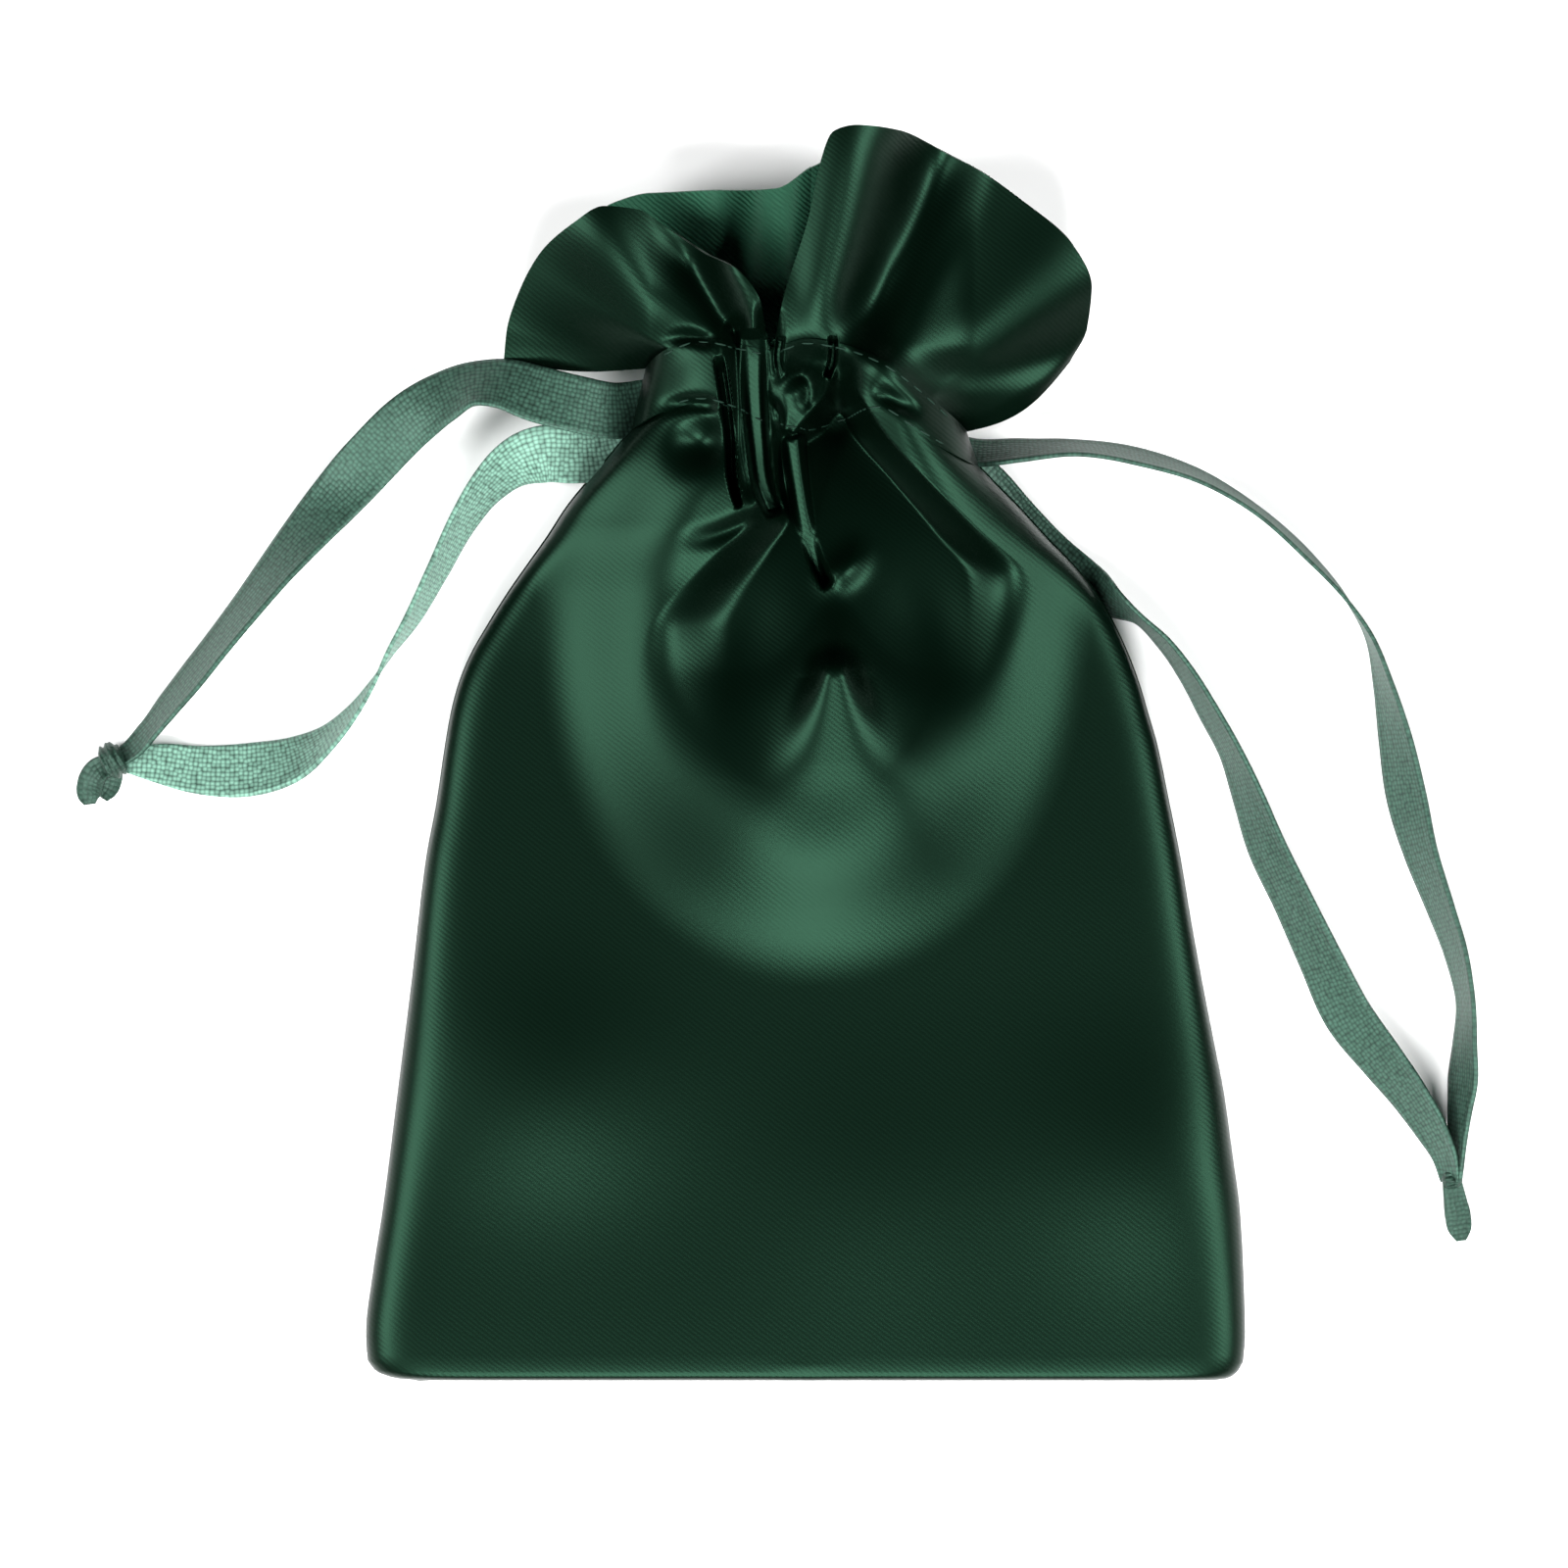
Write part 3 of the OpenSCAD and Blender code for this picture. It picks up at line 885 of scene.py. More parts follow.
@dataclass
class Finishes:
    """The materials of the sack.

    Args:
        satin: outer face of the cloth.
        inside: duller inner face, which shows in the frill; its dye is raised as painted light, since the
            back frill lies in the front frill's shadow.
        ribbon: ribbon.
        pale: brighter face of the ribbon.
        tied: ribbon in the knot, a darker copy whose lower dye is painted shade for the knot's tight folds.
        thread: thread of the stitches.
    """

    satin: bpy.types.Material
    inside: bpy.types.Material
    ribbon: bpy.types.Material
    pale: bpy.types.Material
    tied: bpy.types.Material
    thread: bpy.types.Material

    @classmethod
    def make(cls) -> "Finishes":
        """All of them, built."""
        return cls(
            satin=Satin("satin").build(),
            # The inner face's own duller colour, with its dye raised well above the outer face's as painted
            # light for the back frill, which lies in the front frill's shadow.
            inside=Satin("satin_inside", (0.008, 0.034, 0.020), twill=0.9, gloss=0.5, rough=0.6).build(),
            ribbon=RibbonWeave("ribbon").build(),
            pale=RibbonWeave("ribbon_bright_face", (0.085, 0.165, 0.128)).build(),
            # A darker copy of the ribbon for the knot: its lower dye is painted shade for the knot's tight
            # folds.
            tied=RibbonWeave("ribbon_tied", (0.006, 0.016, 0.011)).build(),
            thread=Plain("thread", (0.002, 0.016, 0.009)).build(),
        )


@dataclass
class Studio:
    """Camera, floor and lights.

    Args:
        centre: point the camera looks down at, in metres.
        span: width of the picture at the floor, in metres.
        lens: focal length of the camera, in millimetres.
    """

    centre: Point = (-0.0025, -0.0034)
    span: float = 0.1787
    lens: float = 180.0

    SENSOR = 36
    WORLD = 0.03
    # Half the side of the floor, in millimetres.
    FLOOR = 2e3
    # Place, side and power of each softbox.
    SOFTBOXES = {
        "key": ((0.0, -0.72, 0.84), 0.48, 22.0),
        "left": ((-0.8, -0.12, 0.72), 0.46, 17.0),
        "right": ((0.8, -0.12, 0.72), 0.46, 17.0),
    }

    def build(self) -> None:
        """Add them to the scene."""
        scene = bpy.context.scene
        data = bpy.data.cameras.new("camera")
        data.lens = self.lens
        data.sensor_width = self.SENSOR
        camera = bpy.data.objects.new("camera", data)
        camera.location = (*self.centre, self.span * self.lens / self.SENSOR)
        scene.collection.objects.link(camera)
        scene.camera = camera
        world = bpy.data.worlds.new("studio")
        world.use_nodes = True
        world.node_tree.nodes["Background"].inputs["Color"].default_value = (1, 1, 1, 1)
        world.node_tree.nodes["Background"].inputs["Strength"].default_value = self.WORLD
        scene.world = world
        corner = np.array([[-1, -1, 0], [1, -1, 0], [1, 1, 0], [-1, 1, 0]]) * self.FLOOR
        floor = mesh_object("floor", corner, [(0, 1, 2, 3)], smooth=False)
        floor.data.materials.append(Plain("floor", (0.92, 0.92, 0.92), 0.9).build())
        lights = [self.softbox(name, *row) for name, row in self.SOFTBOXES.items()]
        scene.view_settings.view_transform = "Standard"
        log.info("studio: camera, floor and %d lights", len(lights))

    def softbox(self, name: str, place: tuple[float, float, float], size: float,
                watts: float) -> bpy.types.Object:
        """A square light that faces the middle of the picture.

        Args:
            name: its name.
            place: where it stands.
            size: length of its side.
            watts: its power.

        Returns:
            The light.
        """
        data = bpy.data.lights.new(name, "AREA")
        data.size = size
        data.energy = watts
        obj = bpy.data.objects.new(name, data)
        obj.location = place
        obj.rotation_euler = (Vector((*self.centre, 0)) - Vector(place)).to_track_quat("-Z", "Y").to_euler()
        bpy.context.scene.collection.objects.link(obj)
        return obj


@dataclass
class Cloth:
    """Front or back cloth of one side of the sack: body panel, casing and frill.

    Args:
        side: side of the sack.
        finishes: the materials.
        thick: thickness of the cloth.
    """

    side: Side
    finishes: Finishes
    thick: float = 0.3

    FACE = ""
    TOP = {}
    # Flat size of a panel, in metres.
    FLAT = (0.05, 0.107)

    def skin(self, part: str, x: Array, y: Array, z: Array, finish: bpy.types.Material,
             facing: Array | None = None) -> bpy.types.Object:
        """One skin of this cloth.

        Args:
            part: name of the part.
            x, y, z: grids of its upper face.
            finish: its material.
            facing: normals to shade it with, where they aren't the grid's own.

        Returns:
            The object.
        """
        name = f"{self.side.word}_{self.FACE}_{part}"
        return sheet_object(name, self.side, np.stack([x, y, z], axis=2), self.thick, finish, facing)

    @staticmethod
    def band(x_low: Array, x_high: Array, v: Array) -> tuple[Array, Array]:
        """Plan of the casing, between its lower and its upper edge.

        Args:
            x_low: X along the lower edge.
            x_high: X along the upper edge.
            v: share of the way up.

        Returns:
            X and Y.
        """
        low, high = spline(Outline.CASING_LOW, x_low), spline(Outline.CASING_HIGH, x_high)
        return mix(x_low, x_high, v), mix(low, high, v)

    def fan(self, x_low: Array, v: Array, u: Array) -> tuple[Array, Array]:
        """Plan of the frill, from the casing to its free edge.

        Args:
            x_low: X along the casing.
            v: share of the way up.
            u: share of the way out.

        Returns:
            X and Y.
        """
        top = spline(self.TOP[self.side], u)
        return mix(x_low, top[..., 0], v), mix(spline(Outline.CASING_HIGH, x_low), top[..., 1], v)

    def build(self) -> None:
        """Make the three pieces, bake their transforms and hide the CAD parts that they stand for; nothing
        ties them to a body.
        """
        word, face = self.side.word, self.FACE
        panel, casing, frill = self.panel(), self.casing(), self.frill()
        tie(panel, self.side, slanted=True)
        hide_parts(f"{face}_panel")
        tie(casing, self.side)
        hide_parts(f"{word}_casing_{face}", f"{face}_centre_pleats")
        tie(frill, self.side)
        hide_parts(f"{word}_frill_{face}", f"{face}_centre_frill")
        log.info("%s cloth, %s side: panel, casing and frill", face, word)


class FrontCloth(Cloth):
    """Front cloth of one side, which lies on the height function."""

    FACE = "front"
    # Half width of the casing at its lower and its upper edge.
    LOW_HALF, HIGH_HALF = 18.8, 18.2
    # Share of the width beside the split that is shaded with the drape's own normals.
    SHARED = 0.125
    # X and Y of the frill's free edge, for each share of the way out.
    TOP = {
        Side.LEFT: [
            (0.0, -4.4, 45.6), (0.10, -5.0, 50.0), (0.2, -7.3, 53.6), (0.3, -11.2, 55.9), (0.4, -15.2, 58.6),
            (0.5, -19.0, 60.9), (0.58, -22.6, 61.2), (0.66, -26.0, 59.4), (0.76, -29.7, 56.4),
            (0.86, -32.4, 51.8), (0.94, -33.8, 47.8), (1.0, -34.2, 44.6),
        ],
        Side.RIGHT: [
            (0.0, -3.6, 46.0), (0.1, -2.4, 51.5), (0.2, 0.2, 59.6), (0.28, 1.6, 66.0), (0.33, 3.0, 69.2),
            (0.38, 5.6, 69.9), (0.46, 10.6, 69.5), (0.56, 17.0, 66.8), (0.66, 24.2, 62.0), (0.76, 29.8, 57.2),
            (0.85, 32.1, 52.4), (0.93, 31.7, 48.0), (1.0, 29.9, 44.4),
        ],
    }

    def lay(self, part: str, x: Array, y: Array, z: Array, u: Array) -> bpy.types.Object:
        """A skin that is shaded so that it meets its neighbour across the split unseen.

        Args:
            part: name of the part.
            x, y, z: grids of its outer face.
            u: share of the way from the split to the side seam.

        Returns:
            The object.
        """
        points = np.stack([x, y, z], axis=2)
        own = Grid(points).normals() * self.side.value
        if part != "frill":
            strip = u[0] < self.SHARED
            near = 1 - ramp(u[:, strip], 0, self.SHARED)[..., None]
            own[:, strip] = mix(own[:, strip], Front.facing(points[:, strip], self.side), near)
            own /= np.linalg.norm(own, axis=2, keepdims=True)
        return self.skin(part, x, y, z, self.finishes.satin, own)

    def panel(self) -> bpy.types.Object:
        """Body panel, with more rows where the bottom edge turns and below the casing."""
        rows = [np.linspace(0, 0.012, 6)[:-1], np.linspace(0.012, 0.62, 70)[:-1], np.linspace(0.62, 1, 120)]
        v, u = np.meshgrid(np.concatenate(rows), np.linspace(0, 1, 150) ** 0.85, indexing="ij")
        y = mix(BOTTOM_Y, 36.5, v)
        # The casing's edge gives Y for each X, and the outline gives X for each Y.
        for _ in range(6):
            x = mix(Outline.split(y), self.side.value * Outline.half(self.side, y), u)
            y = mix(BOTTOM_Y, spline(Outline.CASING_LOW, x), v)
        return self.lay("panel", x, y, Front.height(x, y, Outline.half(self.side, y)), u)

    def casing(self) -> bpy.types.Object:
        """Gathered casing, which starts where the panel ends."""
        v, u = unit_grid(44, 200)
        sign = self.side.value
        x_low = mix(SPLIT_X, sign * self.LOW_HALF, u)
        for _ in range(4):
            low = spline(Outline.CASING_LOW, x_low)
            x_low = mix(Outline.split(low), sign * Outline.half(self.side, low), u)
        x_high = mix(SPLIT_X, sign * self.HIGH_HALF, u)
        x, y = self.band(x_low, x_high, v)
        half = np.abs(mix(x_low[:, -1:], x_high[:, -1:], v))
        return self.lay("casing", x, y, Front.height(x, y, np.maximum(half, np.abs(x))), u)

    def frill(self) -> bpy.types.Object:
        """Frill, which lies flatter towards its outer corner."""
        v, u = unit_grid(110, 190)
        sign = self.side.value
        x, y = self.fan(mix(SPLIT_X, sign * self.HIGH_HALF, u), v, u)
        swell = np.sin(math.pi * v) * ramp(u, 0.75, 1.0) * (1.6 if self.side is Side.RIGHT else 0.8)
        x, y = x + sign * swell * 0.3, y - swell
        low = spline([(0, 1.0), (0.8, 0.9), (1, 0.1)], u)
        high = spline([(0, 1.0), (0.5, 1.0), (0.8, 0.8), (0.93, 0.45), (1, 0.08)], u)
        level = 6.4
        z = level + (Front.height(x, y, np.full(x.shape, 60.0)) - level) * mix(low, high, v)
        return self.lay("frill", x, y, np.maximum(z, 3.0), u)


class BackCloth(Cloth):
    """Back cloth of one side, which lies on the surface."""

    FACE = "back"
    # Half width of the casing at its lower and its upper edge, and the lowest that it and the frill lie.
    LOW_HALF, HIGH_HALF, LOWEST = 18.4, 17.8, 0.6
    # X and Y of the frill's free edge, for each share of the way out.
    TOP = {
        Side.LEFT: [
            (0.0, 0.6, 66.0), (0.15, -3.6, 63.7), (0.4, -11.0, 63.4), (0.6, -17.6, 63.3), (0.7, -21.6, 62.2),
            (0.8, -27.0, 58.0), (0.9, -31.6, 51.5), (1.0, -33.4, 44.4),
        ],
        Side.RIGHT: [
            (0.0, 0.6, 66.0), (0.2, 6.0, 68.0), (0.5, 16.0, 66.0), (0.7, 24.0, 60.0), (0.85, 29.8, 53.0),
            (1.0, 29.2, 44.6),
        ],
    }

    def panel(self) -> bpy.types.Object:
        """Body panel, which sags from the side seam down to the surface."""
        v, u = unit_grid(120, 60)
        y = mix(BOTTOM_Y, 38.7, v)
        for _ in range(5):
            x = self.side.value * (Outline.half(self.side, y) - 0.05) * u
            y = mix(BOTTOM_Y, spline(Outline.CASING_LOW, x), v)
        t = np.clip(np.abs(x) / Outline.half(self.side, y), 0, 1)
        rim = spline(Front.RIM, y) - self.thick
        sag = rim * (1.6 - 0.5 * (y - BOTTOM_Y) / 107)
        z = rim - sag * np.maximum(1 - t**2.4, 0) ** 0.62
        return self.skin("panel", x, y, np.maximum(0.35, z), self.finishes.satin)

    def casing(self) -> bpy.types.Object:
        """Gathered casing, a shallow trough under the front one."""
        v, u = unit_grid(40, 110)
        x, y = self.band(self.side.value * self.LOW_HALF * u, self.side.value * self.HIGH_HALF * u, v)
        z = 5.4 - 4.5 * np.maximum(1 - np.abs(u) ** 6, 0) ** 0.7
        return self.skin("casing", x, y, np.maximum(z, self.LOWEST), self.finishes.inside)

    def frill(self) -> bpy.types.Object:
        """Frill, with low waves that grow towards its free edge."""
        v, u = unit_grid(90, 110)
        x, y = self.fan(self.side.value * self.HIGH_HALF * u, v, u)
        waves = 0.7 * np.sin(u * 17 + 1.2 * v) * (0.35 + v) * (1 - u**6)
        z = 5.6 - (3.4 - 2.2 * v) * np.maximum(1 - u**4, 0) ** 0.7 + waves + 5.6 * v * (1 - u**3)
        return self.skin("frill", x, y, np.maximum(z, self.LOWEST), self.finishes.inside)


@dataclass
class SeamAllowance:
    """Turned-in edge of the cloth along one side seam, inside the sack.

    Args:
        side: side of the sack.
        finishes: the materials.
        width: how far it reaches in from the seam.
        thick: thickness of the two layers together.
    """

    side: Side
    finishes: Finishes
    width: float = 4.5
    thick: float = 0.35

    # Y of its lower end, its length and its gap to the seam; how far below the seam it is, and its lowest Z.
    LOW, LENGTH, GAP = -69.6, 97, 1.2
    BELOW, LOWEST = 0.2, 0.72

    def build(self) -> None:
        """Make the strip, bake its transform and hide the CAD part that it stands for; nothing ties it to a
        body.
        """
        v, u = unit_grid(90, 6)
        y = self.LOW + v * self.LENGTH
        x = self.side.value * (Outline.half(self.side, y) - self.GAP - self.width * u)
        points = np.stack([x, y, np.maximum(spline(Front.RIM, y) - self.BELOW, self.LOWEST)], axis=2)
        name = f"{self.side.word}_seam_strip"
        obj = sheet_object(name, self.side, points, self.thick, self.finishes.inside)
        tie(obj, self.side, slanted=True)
        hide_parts(f"{self.side.word}_seam_allowance")
        log.info("%s seam allowance", self.side.word)


@dataclass
class Strand:
    """One length of ribbon.

    Args:
        name: its name, which is the CAD node's unless node is given.
        body: body that it moves with.
        path: rows of x, y, z, roll from flat in degrees, and width.
        thick: thickness of the ribbon.
        node: CAD node that it replaces.
        samples: number of cross-sections along it.
        level: whether its width lies along Y, as in the casing.
    """

    name: str
    body: str
    path: Sequence[Sequence[float]]
    thick: float = 0.35
    node: str = ""
    samples: int = 260
    level: bool = False

    # The selvedge: where it starts, as a share of the half width, and its thickness and the middle's.
    SELVEDGE, EDGE, MIDDLE = 0.8, 1.25, 0.8

    def build(self, finish: bpy.types.Material) -> tuple[bpy.types.Object, Array]:
        """Sweep the ribbon along its path.

        Args:
            finish: its material.

        Returns:
            The object and its centre line in metres.
        """
        line = route(self.path, self.samples)
        place, roll, width = line[:, :3].copy(), np.radians(line[:, 3:4]), line[:, 4:]
        ahead = np.gradient(place, axis=0)
        ahead /= np.linalg.norm(ahead, axis=1, keepdims=True)
        flat = np.tile([0.0, 1.0, 0.0], (len(ahead), 1)) if self.level else np.cross([0, 0, 1.0], ahead)
        flat /= np.linalg.norm(flat, axis=1, keepdims=True)
        across = flat * np.cos(roll) + np.cross(ahead, flat) * np.sin(roll)
        face = np.cross(ahead, across)
        lowest = 0.5 * width[:, 0] * np.abs(across[:, 2]) + 0.3
        place[:, 2] = np.maximum(place[:, 2], lowest)
        steps = np.linspace(-1, 1, 13)
        side = np.concatenate([steps, steps[::-1]])
        half = 0.5 * self.thick * np.where(np.abs(side) > self.SELVEDGE, self.EDGE, self.MIDDLE)
        out = half * np.repeat([1, -1], len(steps))
        edge = 0.5 * width * side
        rings = place[:, None] + across[:, None] * edge[..., None] + face[:, None] * out[:, None]
        uv = np.stack([np.repeat(walked(place), len(side)), edge.ravel()], axis=1)
        obj = tube_object(f"{self.name}_weave", rings, uv)
        obj.data.materials.append(finish)
        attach(obj, self.body)
        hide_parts(self.node or self.name)
        return obj, place * MM


# Path of each free strand, from the casing to its knot.
STRANDS = {
    "left_ribbon_front": [
        (-15.0, 40.4, 4.9, 0, 5.6), (-18.4, 39.3, 5.2, 0, 6.2), (-22.0, 38.8, 7.4, 6, 6.4),
        (-26.0, 39.5, 8.8, 10, 6.5),
        (-30.4, 40.6, 9.2, 14, 6.5), (-34.2, 41.8, 8.6, 30, 6.5), (-37.6, 41.8, 8.0, 40, 6.5),
        (-41.2, 40.2, 7.0, 28, 6.5), (-44.8, 37.8, 5.8, 10, 6.5), (-49.1, 33.7, 4.2, 0, 6.5),
        (-53.1, 29.4, 3.0, 20, 6.5), (-56.6, 25.4, 3.0, 36, 6.5), (-60.0, 21.3, 3.2, 48, 6.5),
        (-63.5, 16.8, 3.3, 56, 6.5), (-66.8, 12.6, 3.2, 60, 6.5), (-69.7, 8.9, 3.1, 60, 6.3),
        (-72.4, 5.6, 2.8, 60, 5.6), (-74.8, 2.6, 2.6, 56, 4.2), (-76.8, 0.4, 2.4, 40, 2.8),
        (-78.0, -0.4, 2.3, 30, 2.2),
    ],
    "left_ribbon_back": [
        (-15.0, 37.0, 4.0, 0, 5.6), (-19.0, 35.4, 4.2, 0, 6.2), (-22.8, 34.2, 4.5, 2, 6.4),
        (-26.2, 33.9, 5.4, 4, 6.5),
        (-29.6, 34.0, 5.4, -8, 6.5), (-33.2, 32.8, 4.6, -38, 6.5), (-36.2, 30.2, 4.0, -56, 6.5),
        (-38.9, 26.4, 3.6, -66, 6.5), (-41.9, 20.6, 3.6, -73, 6.5), (-44.9, 15.0, 3.6, -80, 6.5),
        (-47.2, 11.5, 3.6, -88, 6.5), (-49.2, 8.0, 3.5, -96, 6.5), (-51.6, 4.6, 3.2, -104, 6.5),
        (-54.6, 1.6, 2.8, -116, 6.5), (-58.2, -0.6, 2.3, -138, 6.5), (-63.3, -1.8, 1.6, -156, 6.5),
        (-69.2, -1.8, 1.6, -164, 5.6), (-73.4, -1.1, 1.9, -168, 4.6), (-76.4, -0.8, 2.1, -175, 3.2),
        (-78.0, -0.8, 2.0, -178, 2.2),
    ],
    "right_ribbon_front": [
        (14.0, 35.4, 4.8, -20, 4.0), (18.4, 34.2, 5.0, -50, 5.0), (24.4, 34.4, 5.6, -66, 6.3),
        (30.0, 34.7, 5.6, -73, 6.5), (38.2, 33.6, 4.6, -72, 6.5), (44.5, 31.6, 4.0, -76, 6.5),
        (50.7, 28.0, 3.7, -80, 6.5), (56.9, 22.6, 3.6, -80, 6.5), (61.6, 17.2, 3.6, -86, 6.5),
        (63.8, 13.6, 3.6, -91, 6.5), (65.6, 7.7, 3.5, -104, 6.5), (67.0, 1.4, 3.1, -119, 6.5),
        (68.2, -4.9, 2.7, -127, 6.5), (69.8, -11.2, 2.9, -119, 6.5), (72.0, -17.4, 3.1, -112, 6.5),
        (73.8, -22.7, 3.3, -107, 6.5), (74.9, -28.6, 3.5, -102, 6.5), (74.8, -33.0, 3.4, -107, 6.5),
        (74.6, -37.0, 3.2, -114, 6.3), (74.2, -41.0, 2.9, -111, 5.4), (73.9, -45.0, 2.5, -112, 4.0),
        (73.6, -48.4, 2.0, -125, 2.6),
    ],
    "right_ribbon_back": [
        (17.6, 33.2, 4.6, -30, 5.0), (20.6, 30.6, 3.0, -10, 5.0), (24.0, 26.8, 1.6, 0, 5.0),
        (28.4, 22.6, 1.2, 0, 4.6), (33.2, 18.6, 1.6, 40, 5.2), (37.1, 15.9, 3.2, 82, 6.5),
        (40.7, 12.5, 3.4, 81, 6.5), (43.2, 9.1, 3.5, 78, 6.5), (45.8, 4.6, 3.4, 74, 6.5),
        (48.2, 0.2, 3.3, 72, 6.5), (50.2, -4.8, 3.0, 63, 6.5), (52.3, -10.5, 2.6, 54, 6.5),
        (55.4, -16.9, 2.4, 52, 6.5), (58.5, -23.4, 2.2, 46, 6.5), (61.8, -30.0, 1.8, 38, 6.5),
        (65.3, -34.6, 1.9, 44, 6.4), (68.6, -38.9, 2.1, 50, 6.0), (71.0, -42.6, 2.3, 52, 5.2),
        (72.6, -45.8, 2.3, 56, 4.2), (73.3, -48.6, 1.9, 50, 2.8),
    ],
}

# Strands that show the ribbon's brighter face.
PALE = ("left_ribbon_back",)


@dataclass
class CasingLoop:
    """The stretch of a ribbon that runs folded through the casings and turns round the far side.

    Args:
        side: side of the sack that its knot is on.
        y: Y of the ribbon in the casing.
    """

    side: Side
    y: float

    # Y of the left ribbon's loop and of the right one's.
    PLACES = (39.4, 36.2)
    # Height on the front and on the back, width folded and thickness folded.
    HIGH, LOW, WIDTH, THICK = 5.0, 3.2, 2.6, 0.7
    # X and Z on the way out and on the way back, with X growing towards the far side.
    OUT = ((-15.5, HIGH), (-10, 2.6), (0, 2.35), (8, 2.6))
    BACK = ((8, 1.7), (0, 1.5), (-10, 1.6), (-15.5, LOW))
    # Middle of the turn and its reach beyond that.
    TURN_X, TURN_REACH = 13.2, 1.6

    def build(self, finish: bpy.types.Material) -> bpy.types.Object:
        """Sweep it and tie it to its ribbon's body.

        Args:
            finish: its material.

        Returns:
            The object.
        """
        middle, rise = (self.HIGH + self.LOW) / 2, (self.HIGH - self.LOW) / 2
        angles = [math.radians(a) for a in range(0, 181, 30)]
        turn = [(self.TURN_X + self.TURN_REACH * math.sin(a), middle + rise * math.cos(a)) for a in angles]
        rows = [(-self.side.value * x, self.y, z, 0, self.WIDTH) for x, z in (*self.OUT, *turn, *self.BACK)]
        body = f"{self.side.word}_drawstring"
        return Strand(f"{self.side.word}_ribbon_loop", body, rows, self.THICK, level=True).build(finish)[0]


@dataclass
class Knot:
    """The knot that joins the two free ends of a ribbon: a gathered turn and short tails.

    Args:
        side: side of the sack that it lies on.
        centre: middle of the turn.
        heading: direction of the turn's axis in plan, in degrees.
        radius: radius of the turn.
        length: length of the turn along its axis.
        tails: rows of path for each tail, as Strand has them.
    """

    side: Side
    centre: tuple[float, float, float]
    heading: float
    radius: float
    length: float
    tails: Sequence[Sequence[Sequence[float]]]

    # Rings along the turn and points round it.
    RINGS, AROUND = 25, 40
    LOWEST = 0.05

    def turn(self) -> bpy.types.Object:
        """The turn: a barrel with the ribbon's folds running round it."""
        s = np.linspace(-1, 1, self.RINGS)[:, None]
        phi = np.linspace(0, 2 * math.pi, self.AROUND, endpoint=False)[None, :]
        folds = 0.07 * np.sin(7.5 * s + phi) + 0.05 * np.sin(13 * s - 2 * phi + 1)
        r = self.radius * (np.sqrt(1.02 - 0.62 * s**2 - 0.3 * s**8) + folds)
        angle = math.radians(self.heading)
        axis = np.array([math.cos(angle), math.sin(angle), 0.0])
        across = np.array([-axis[1], axis[0], 0.0])
        points = (
            np.array(self.centre)
            + axis * (s * self.length / 2)[..., None]
            + across * (r * np.cos(phi))[..., None]
            + np.array([0, 0, 1.0]) * (r * np.sin(phi))[..., None]
        )
        points[..., 2] = np.maximum(points[..., 2], self.LOWEST)
        along = np.repeat(np.linspace(0, self.length, self.RINGS), self.AROUND)
        around = np.tile(np.linspace(0, 2 * math.pi * self.radius, self.AROUND), self.RINGS)
        return tube_object(f"{self.side.word}_knot_turn", points, np.stack([along, around], axis=1))

    def build(self, finish: bpy.types.Material) -> list[bpy.types.Object]:
        """Make the turn and tails, and tie them to the ribbon's body.

        Args:
            finish: their material.

        Returns:
            The pieces.
        """
        body, node = f"{self.side.word}_drawstring", f"{self.side.word}_knot"
        turn = self.turn()
        turn.data.materials.append(finish)
        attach(turn, body)
        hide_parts(node)
        pieces = [turn]
        for number, rows in enumerate(self.tails, 1):
            tail = Strand(f"{node}_tail_{number}", body, rows, thick=0.5, node=node, samples=60)
            pieces.append(tail.build(finish)[0])
        log.info("%s knot: turn and %d tails", self.side.word, len(self.tails))
        return pieces


KNOTS = [
    Knot(Side.LEFT, (-78.8, -0.7, 2.25), 205, 2.05, 2.7, [
        [(-79.2, -1.1, 2.5, 0, 2.4), (-80.7, -2.1, 2.2, 22, 3.0), (-81.4, -3.5, 1.8, 14, 3.0),
         (-81.6, -4.8, 1.4, 4, 2.5), (-81.5, -5.7, 1.2, 0, 1.3)],
        [(-78.9, -1.6, 1.4, 0, 2.2), (-79.0, -2.8, 1.1, -10, 2.3), (-79.4, -4.0, 0.9, -6, 2.1),
         (-80.1, -5.0, 0.8, 0, 1.3)],
    ]),
    Knot(Side.RIGHT, (73.5, -48.4, 1.6), 98, 1.12, 2.0, [
        [(73.4, -48.0, 1.6, 0, 2.0), (73.8, -50.4, 1.3, -8, 2.5), (74.2, -52.6, 1.1, -6, 2.9),
         (74.45, -54.3, 0.9, 0, 2.5), (74.6, -55.4, 0.8, 0, 1.1)],
    ]),
]


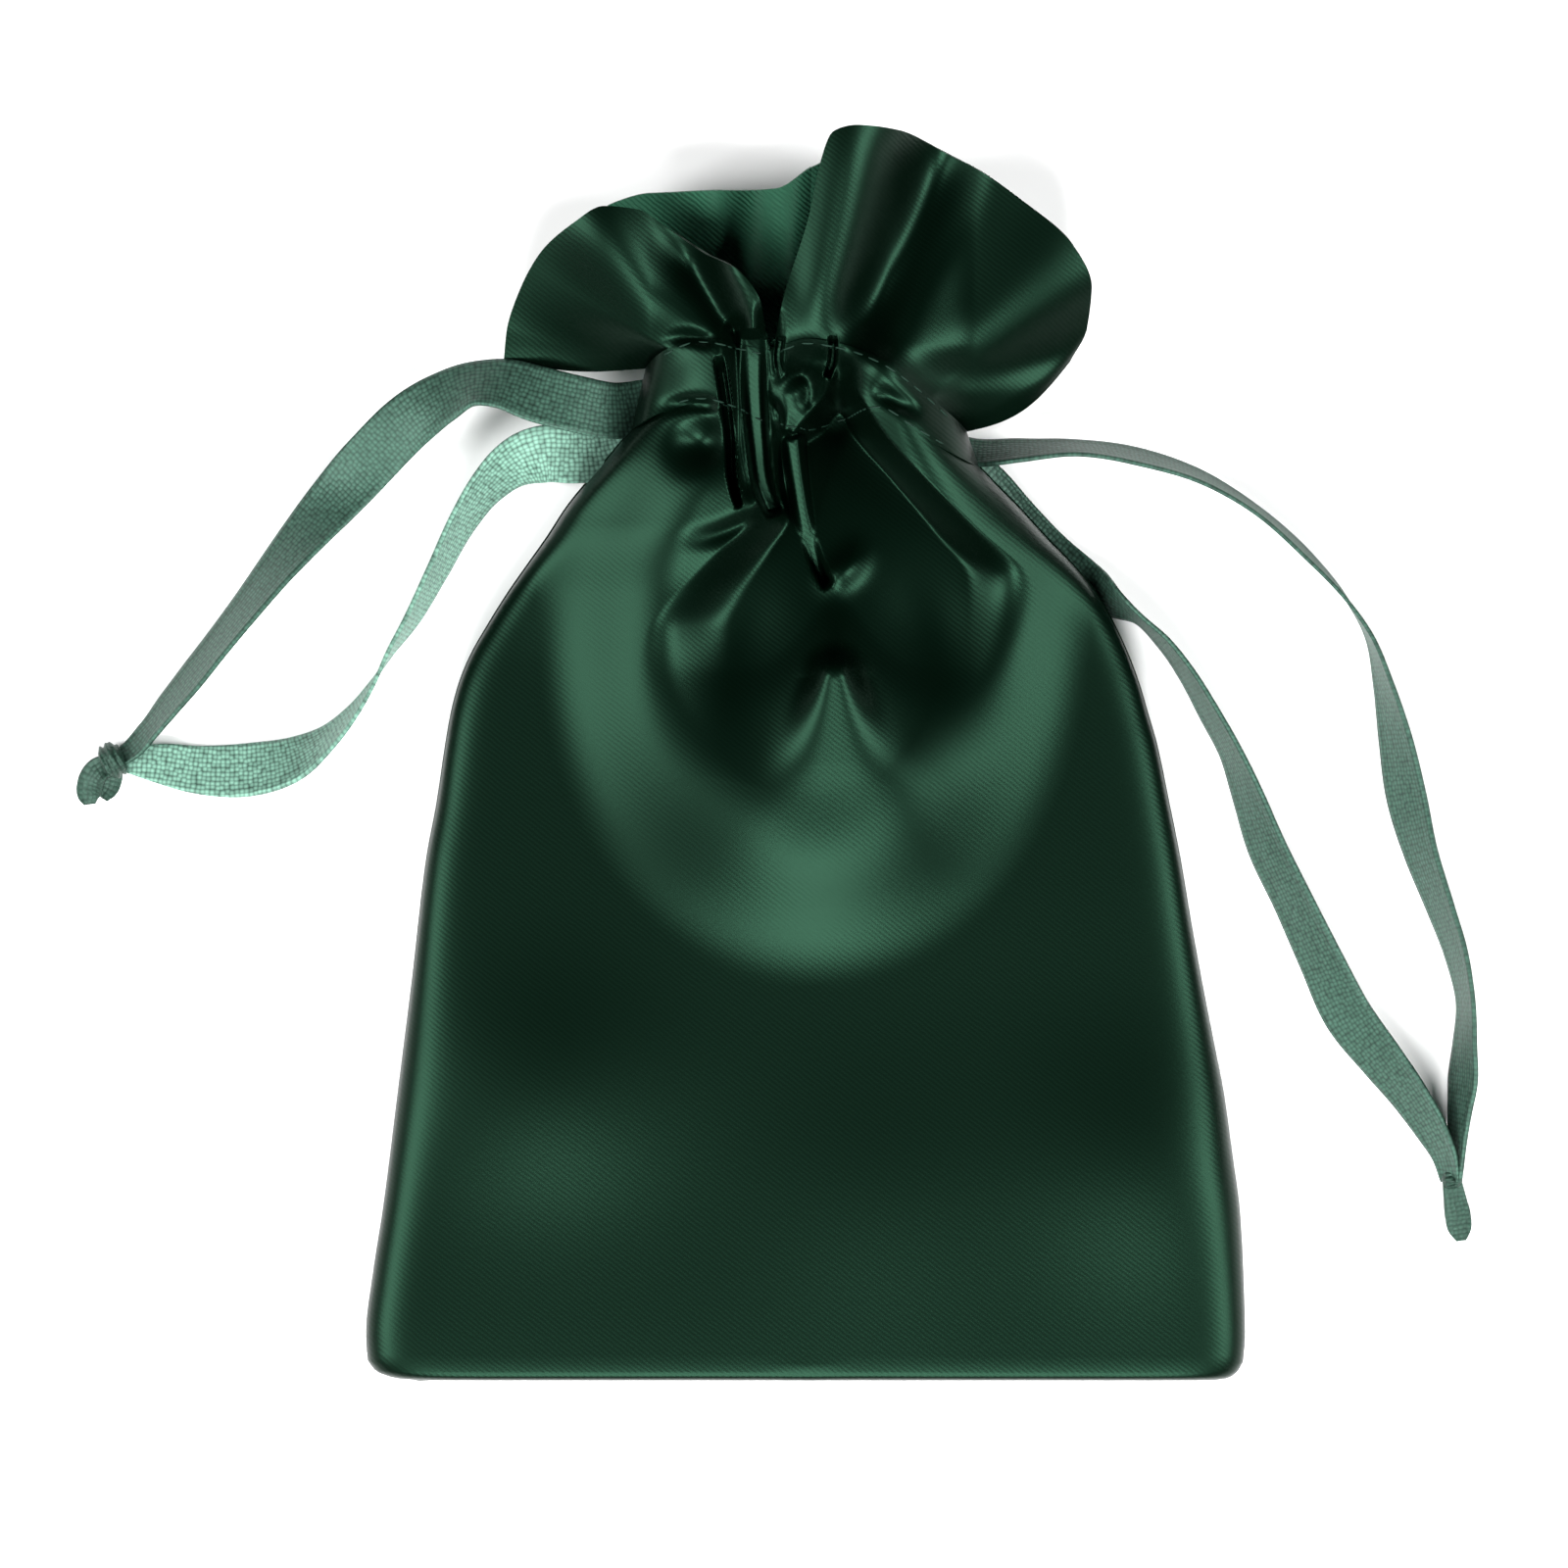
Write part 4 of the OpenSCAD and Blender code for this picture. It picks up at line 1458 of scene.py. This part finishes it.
class Stitching:
    """Rows of stitches, laid on the cloth by geometry nodes and turned into plain meshes.

    Args:
        thread: material of the thread.
    """

    # Length of a stitch, thickness of the thread, and distance from stitch to stitch.
    LENGTH, RADIUS, PITCH = 1.5, 0.13, 2.2
    # Gap between a row and the casing's edge, and between a row and the split, and X where a row ends.
    INSET, START, END = 0.5, 0.8, 16.6
    # Half width of the casing, and points along a row.
    HALF, POINTS = 18.4, 160

    def __init__(self, thread: bpy.types.Material) -> None:
        """Build the node tree of a row."""
        self.thread = thread
        self.tree = bpy.data.node_groups.new("stitch_row", "GeometryNodeTree")
        face = self.tree.interface
        kinds = {"Geometry": "Geometry", "Stitch Length": "Float", "Thread Radius": "Float",
                 "Thread": "Material"}
        self.sockets = {}
        for name, kind in kinds.items():
            socket = face.new_socket(name, in_out="INPUT", socket_type=f"NodeSocket{kind}")
            self.sockets[name] = socket.identifier
        face.new_socket("Geometry", in_out="OUTPUT", socket_type="NodeSocketGeometry")
        add = self.tree.nodes.new
        given, out = add("NodeGroupInput"), add("NodeGroupOutput")
        stitch = add("GeometryNodeMeshUVSphere")
        for key, value in (("Segments", 6), ("Rings", 4), ("Radius", 1.0)):
            stitch.inputs[key].default_value = value
        aim = add("GeometryNodeInputNamedAttribute")
        aim.data_type = "FLOAT_VECTOR"
        aim.inputs["Name"].default_value = "aim"
        turn = add("FunctionNodeAlignRotationToVector")
        turn.axis = "Z"
        half = add("ShaderNodeMath")
        half.operation = "MULTIPLY"
        half.inputs[1].default_value = 0.5
        size = add("ShaderNodeCombineXYZ")
        place = add("GeometryNodeInstanceOnPoints")
        real, coat = add("GeometryNodeRealizeInstances"), add("GeometryNodeSetMaterial")
        for source, socket, target, into in (
            (given, "Stitch Length", half, 0),
            (given, "Thread Radius", size, "X"),
            (given, "Thread Radius", size, "Y"),
            (half, "Value", size, "Z"),
            (aim, "Attribute", turn, "Vector"),
            (given, "Geometry", place, "Points"),
            (stitch, "Mesh", place, "Instance"),
            (turn, "Rotation", place, "Rotation"),
            (size, "Vector", place, "Scale"),
            (place, "Instances", real, "Geometry"),
            (real, "Geometry", coat, "Geometry"),
            (given, "Thread", coat, "Material"),
            (coat, "Geometry", out, "Geometry"),
        ):
            self.tree.links.new(source.outputs[socket], target.inputs[into])

    def row(self, name: str, lines: Sequence[Array]) -> bpy.types.Object:
        """Stitches along lines.

        Args:
            name: name of the object.
            lines: points along each line.

        Returns:
            One plain mesh with all the stitches.
        """
        spots, aims = [], []
        for line in lines:
            along = walked(line)
            at = np.arange(self.PITCH / 2, along[-1] - self.PITCH / 2, self.PITCH)
            spots.append(sampled(line, along, at))
            aims.append(sampled(np.gradient(line, along, axis=0), along, at))
        obj = mesh_object(name, np.concatenate(spots), [])
        aim = obj.data.attributes.new("aim", "FLOAT_VECTOR", "POINT")
        aim.data.foreach_set("vector", np.concatenate(aims).ravel())
        modifier = obj.modifiers.new("stitches", "NODES")
        modifier.node_group = self.tree
        modifier[self.sockets["Stitch Length"]] = self.LENGTH * MM
        modifier[self.sockets["Thread Radius"]] = self.RADIUS * MM
        modifier[self.sockets["Thread"]] = self.thread
        shown = obj.evaluated_get(bpy.context.evaluated_depsgraph_get())
        mesh = bpy.data.meshes.new_from_object(shown)
        obj.modifiers.remove(modifier)
        obj.data = mesh
        obj.data.shade_smooth()
        return obj

    def casing(self, side: Side) -> bpy.types.Object:
        """The two rows that close the casing of one side.

        Args:
            side: which side.

        Returns:
            The stitches, with their transform baked; nothing ties them to a body.
        """
        lines = []
        for edge, inset in ((Outline.CASING_LOW, self.INSET), (Outline.CASING_HIGH, -self.INSET)):
            x = np.linspace(SPLIT_X + side.value * self.START, side.value * self.END, self.POINTS)
            y = spline(edge, x) + inset
            z = Front.height(x, y, np.full(x.shape, self.HALF))
            lines.append(np.stack([x, y, z], axis=1))
        obj = self.row(f"{side.word}_casing_thread", lines)
        tie(obj, side)
        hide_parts(f"{side.word}_casing_stitches")
        log.info("%s casing stitches", side.word)
        return obj


def main() -> None:
    """Build the sack, its ribbons and the studio."""
    logging.basicConfig(level=logging.INFO, format="%(name)s: %(message)s")
    finishes = Finishes.make()
    Studio().build()
    strands = {}
    for name, path in STRANDS.items():
        finish = finishes.pale if name in PALE else finishes.ribbon
        strands[name] = Strand(name, name.split("_")[0] + "_drawstring", path).build(finish)
    for knot, loop_y in zip(KNOTS, CasingLoop.PLACES):
        word = knot.side.word
        pieces = knot.build(finishes.tied)
        loop = CasingLoop(knot.side, loop_y).build(finishes.ribbon)
        for part, named in (("front", [*pieces, loop]), ("back", pieces)):
            obj, line = strands[f"{word}_ribbon_{part}"]
            length = float(walked(line)[-1])
            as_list(named)
            log.info("%s ribbon, %s strand: %.0f mm long", word, part, length / MM)
    stitching = Stitching(finishes.thread)
    for side in Side:
        FrontCloth(side, finishes).build()
        BackCloth(side, finishes).build()
        SeamAllowance(side, finishes).build()
        stitching.casing(side)


if __name__ == "__main__":
    main()
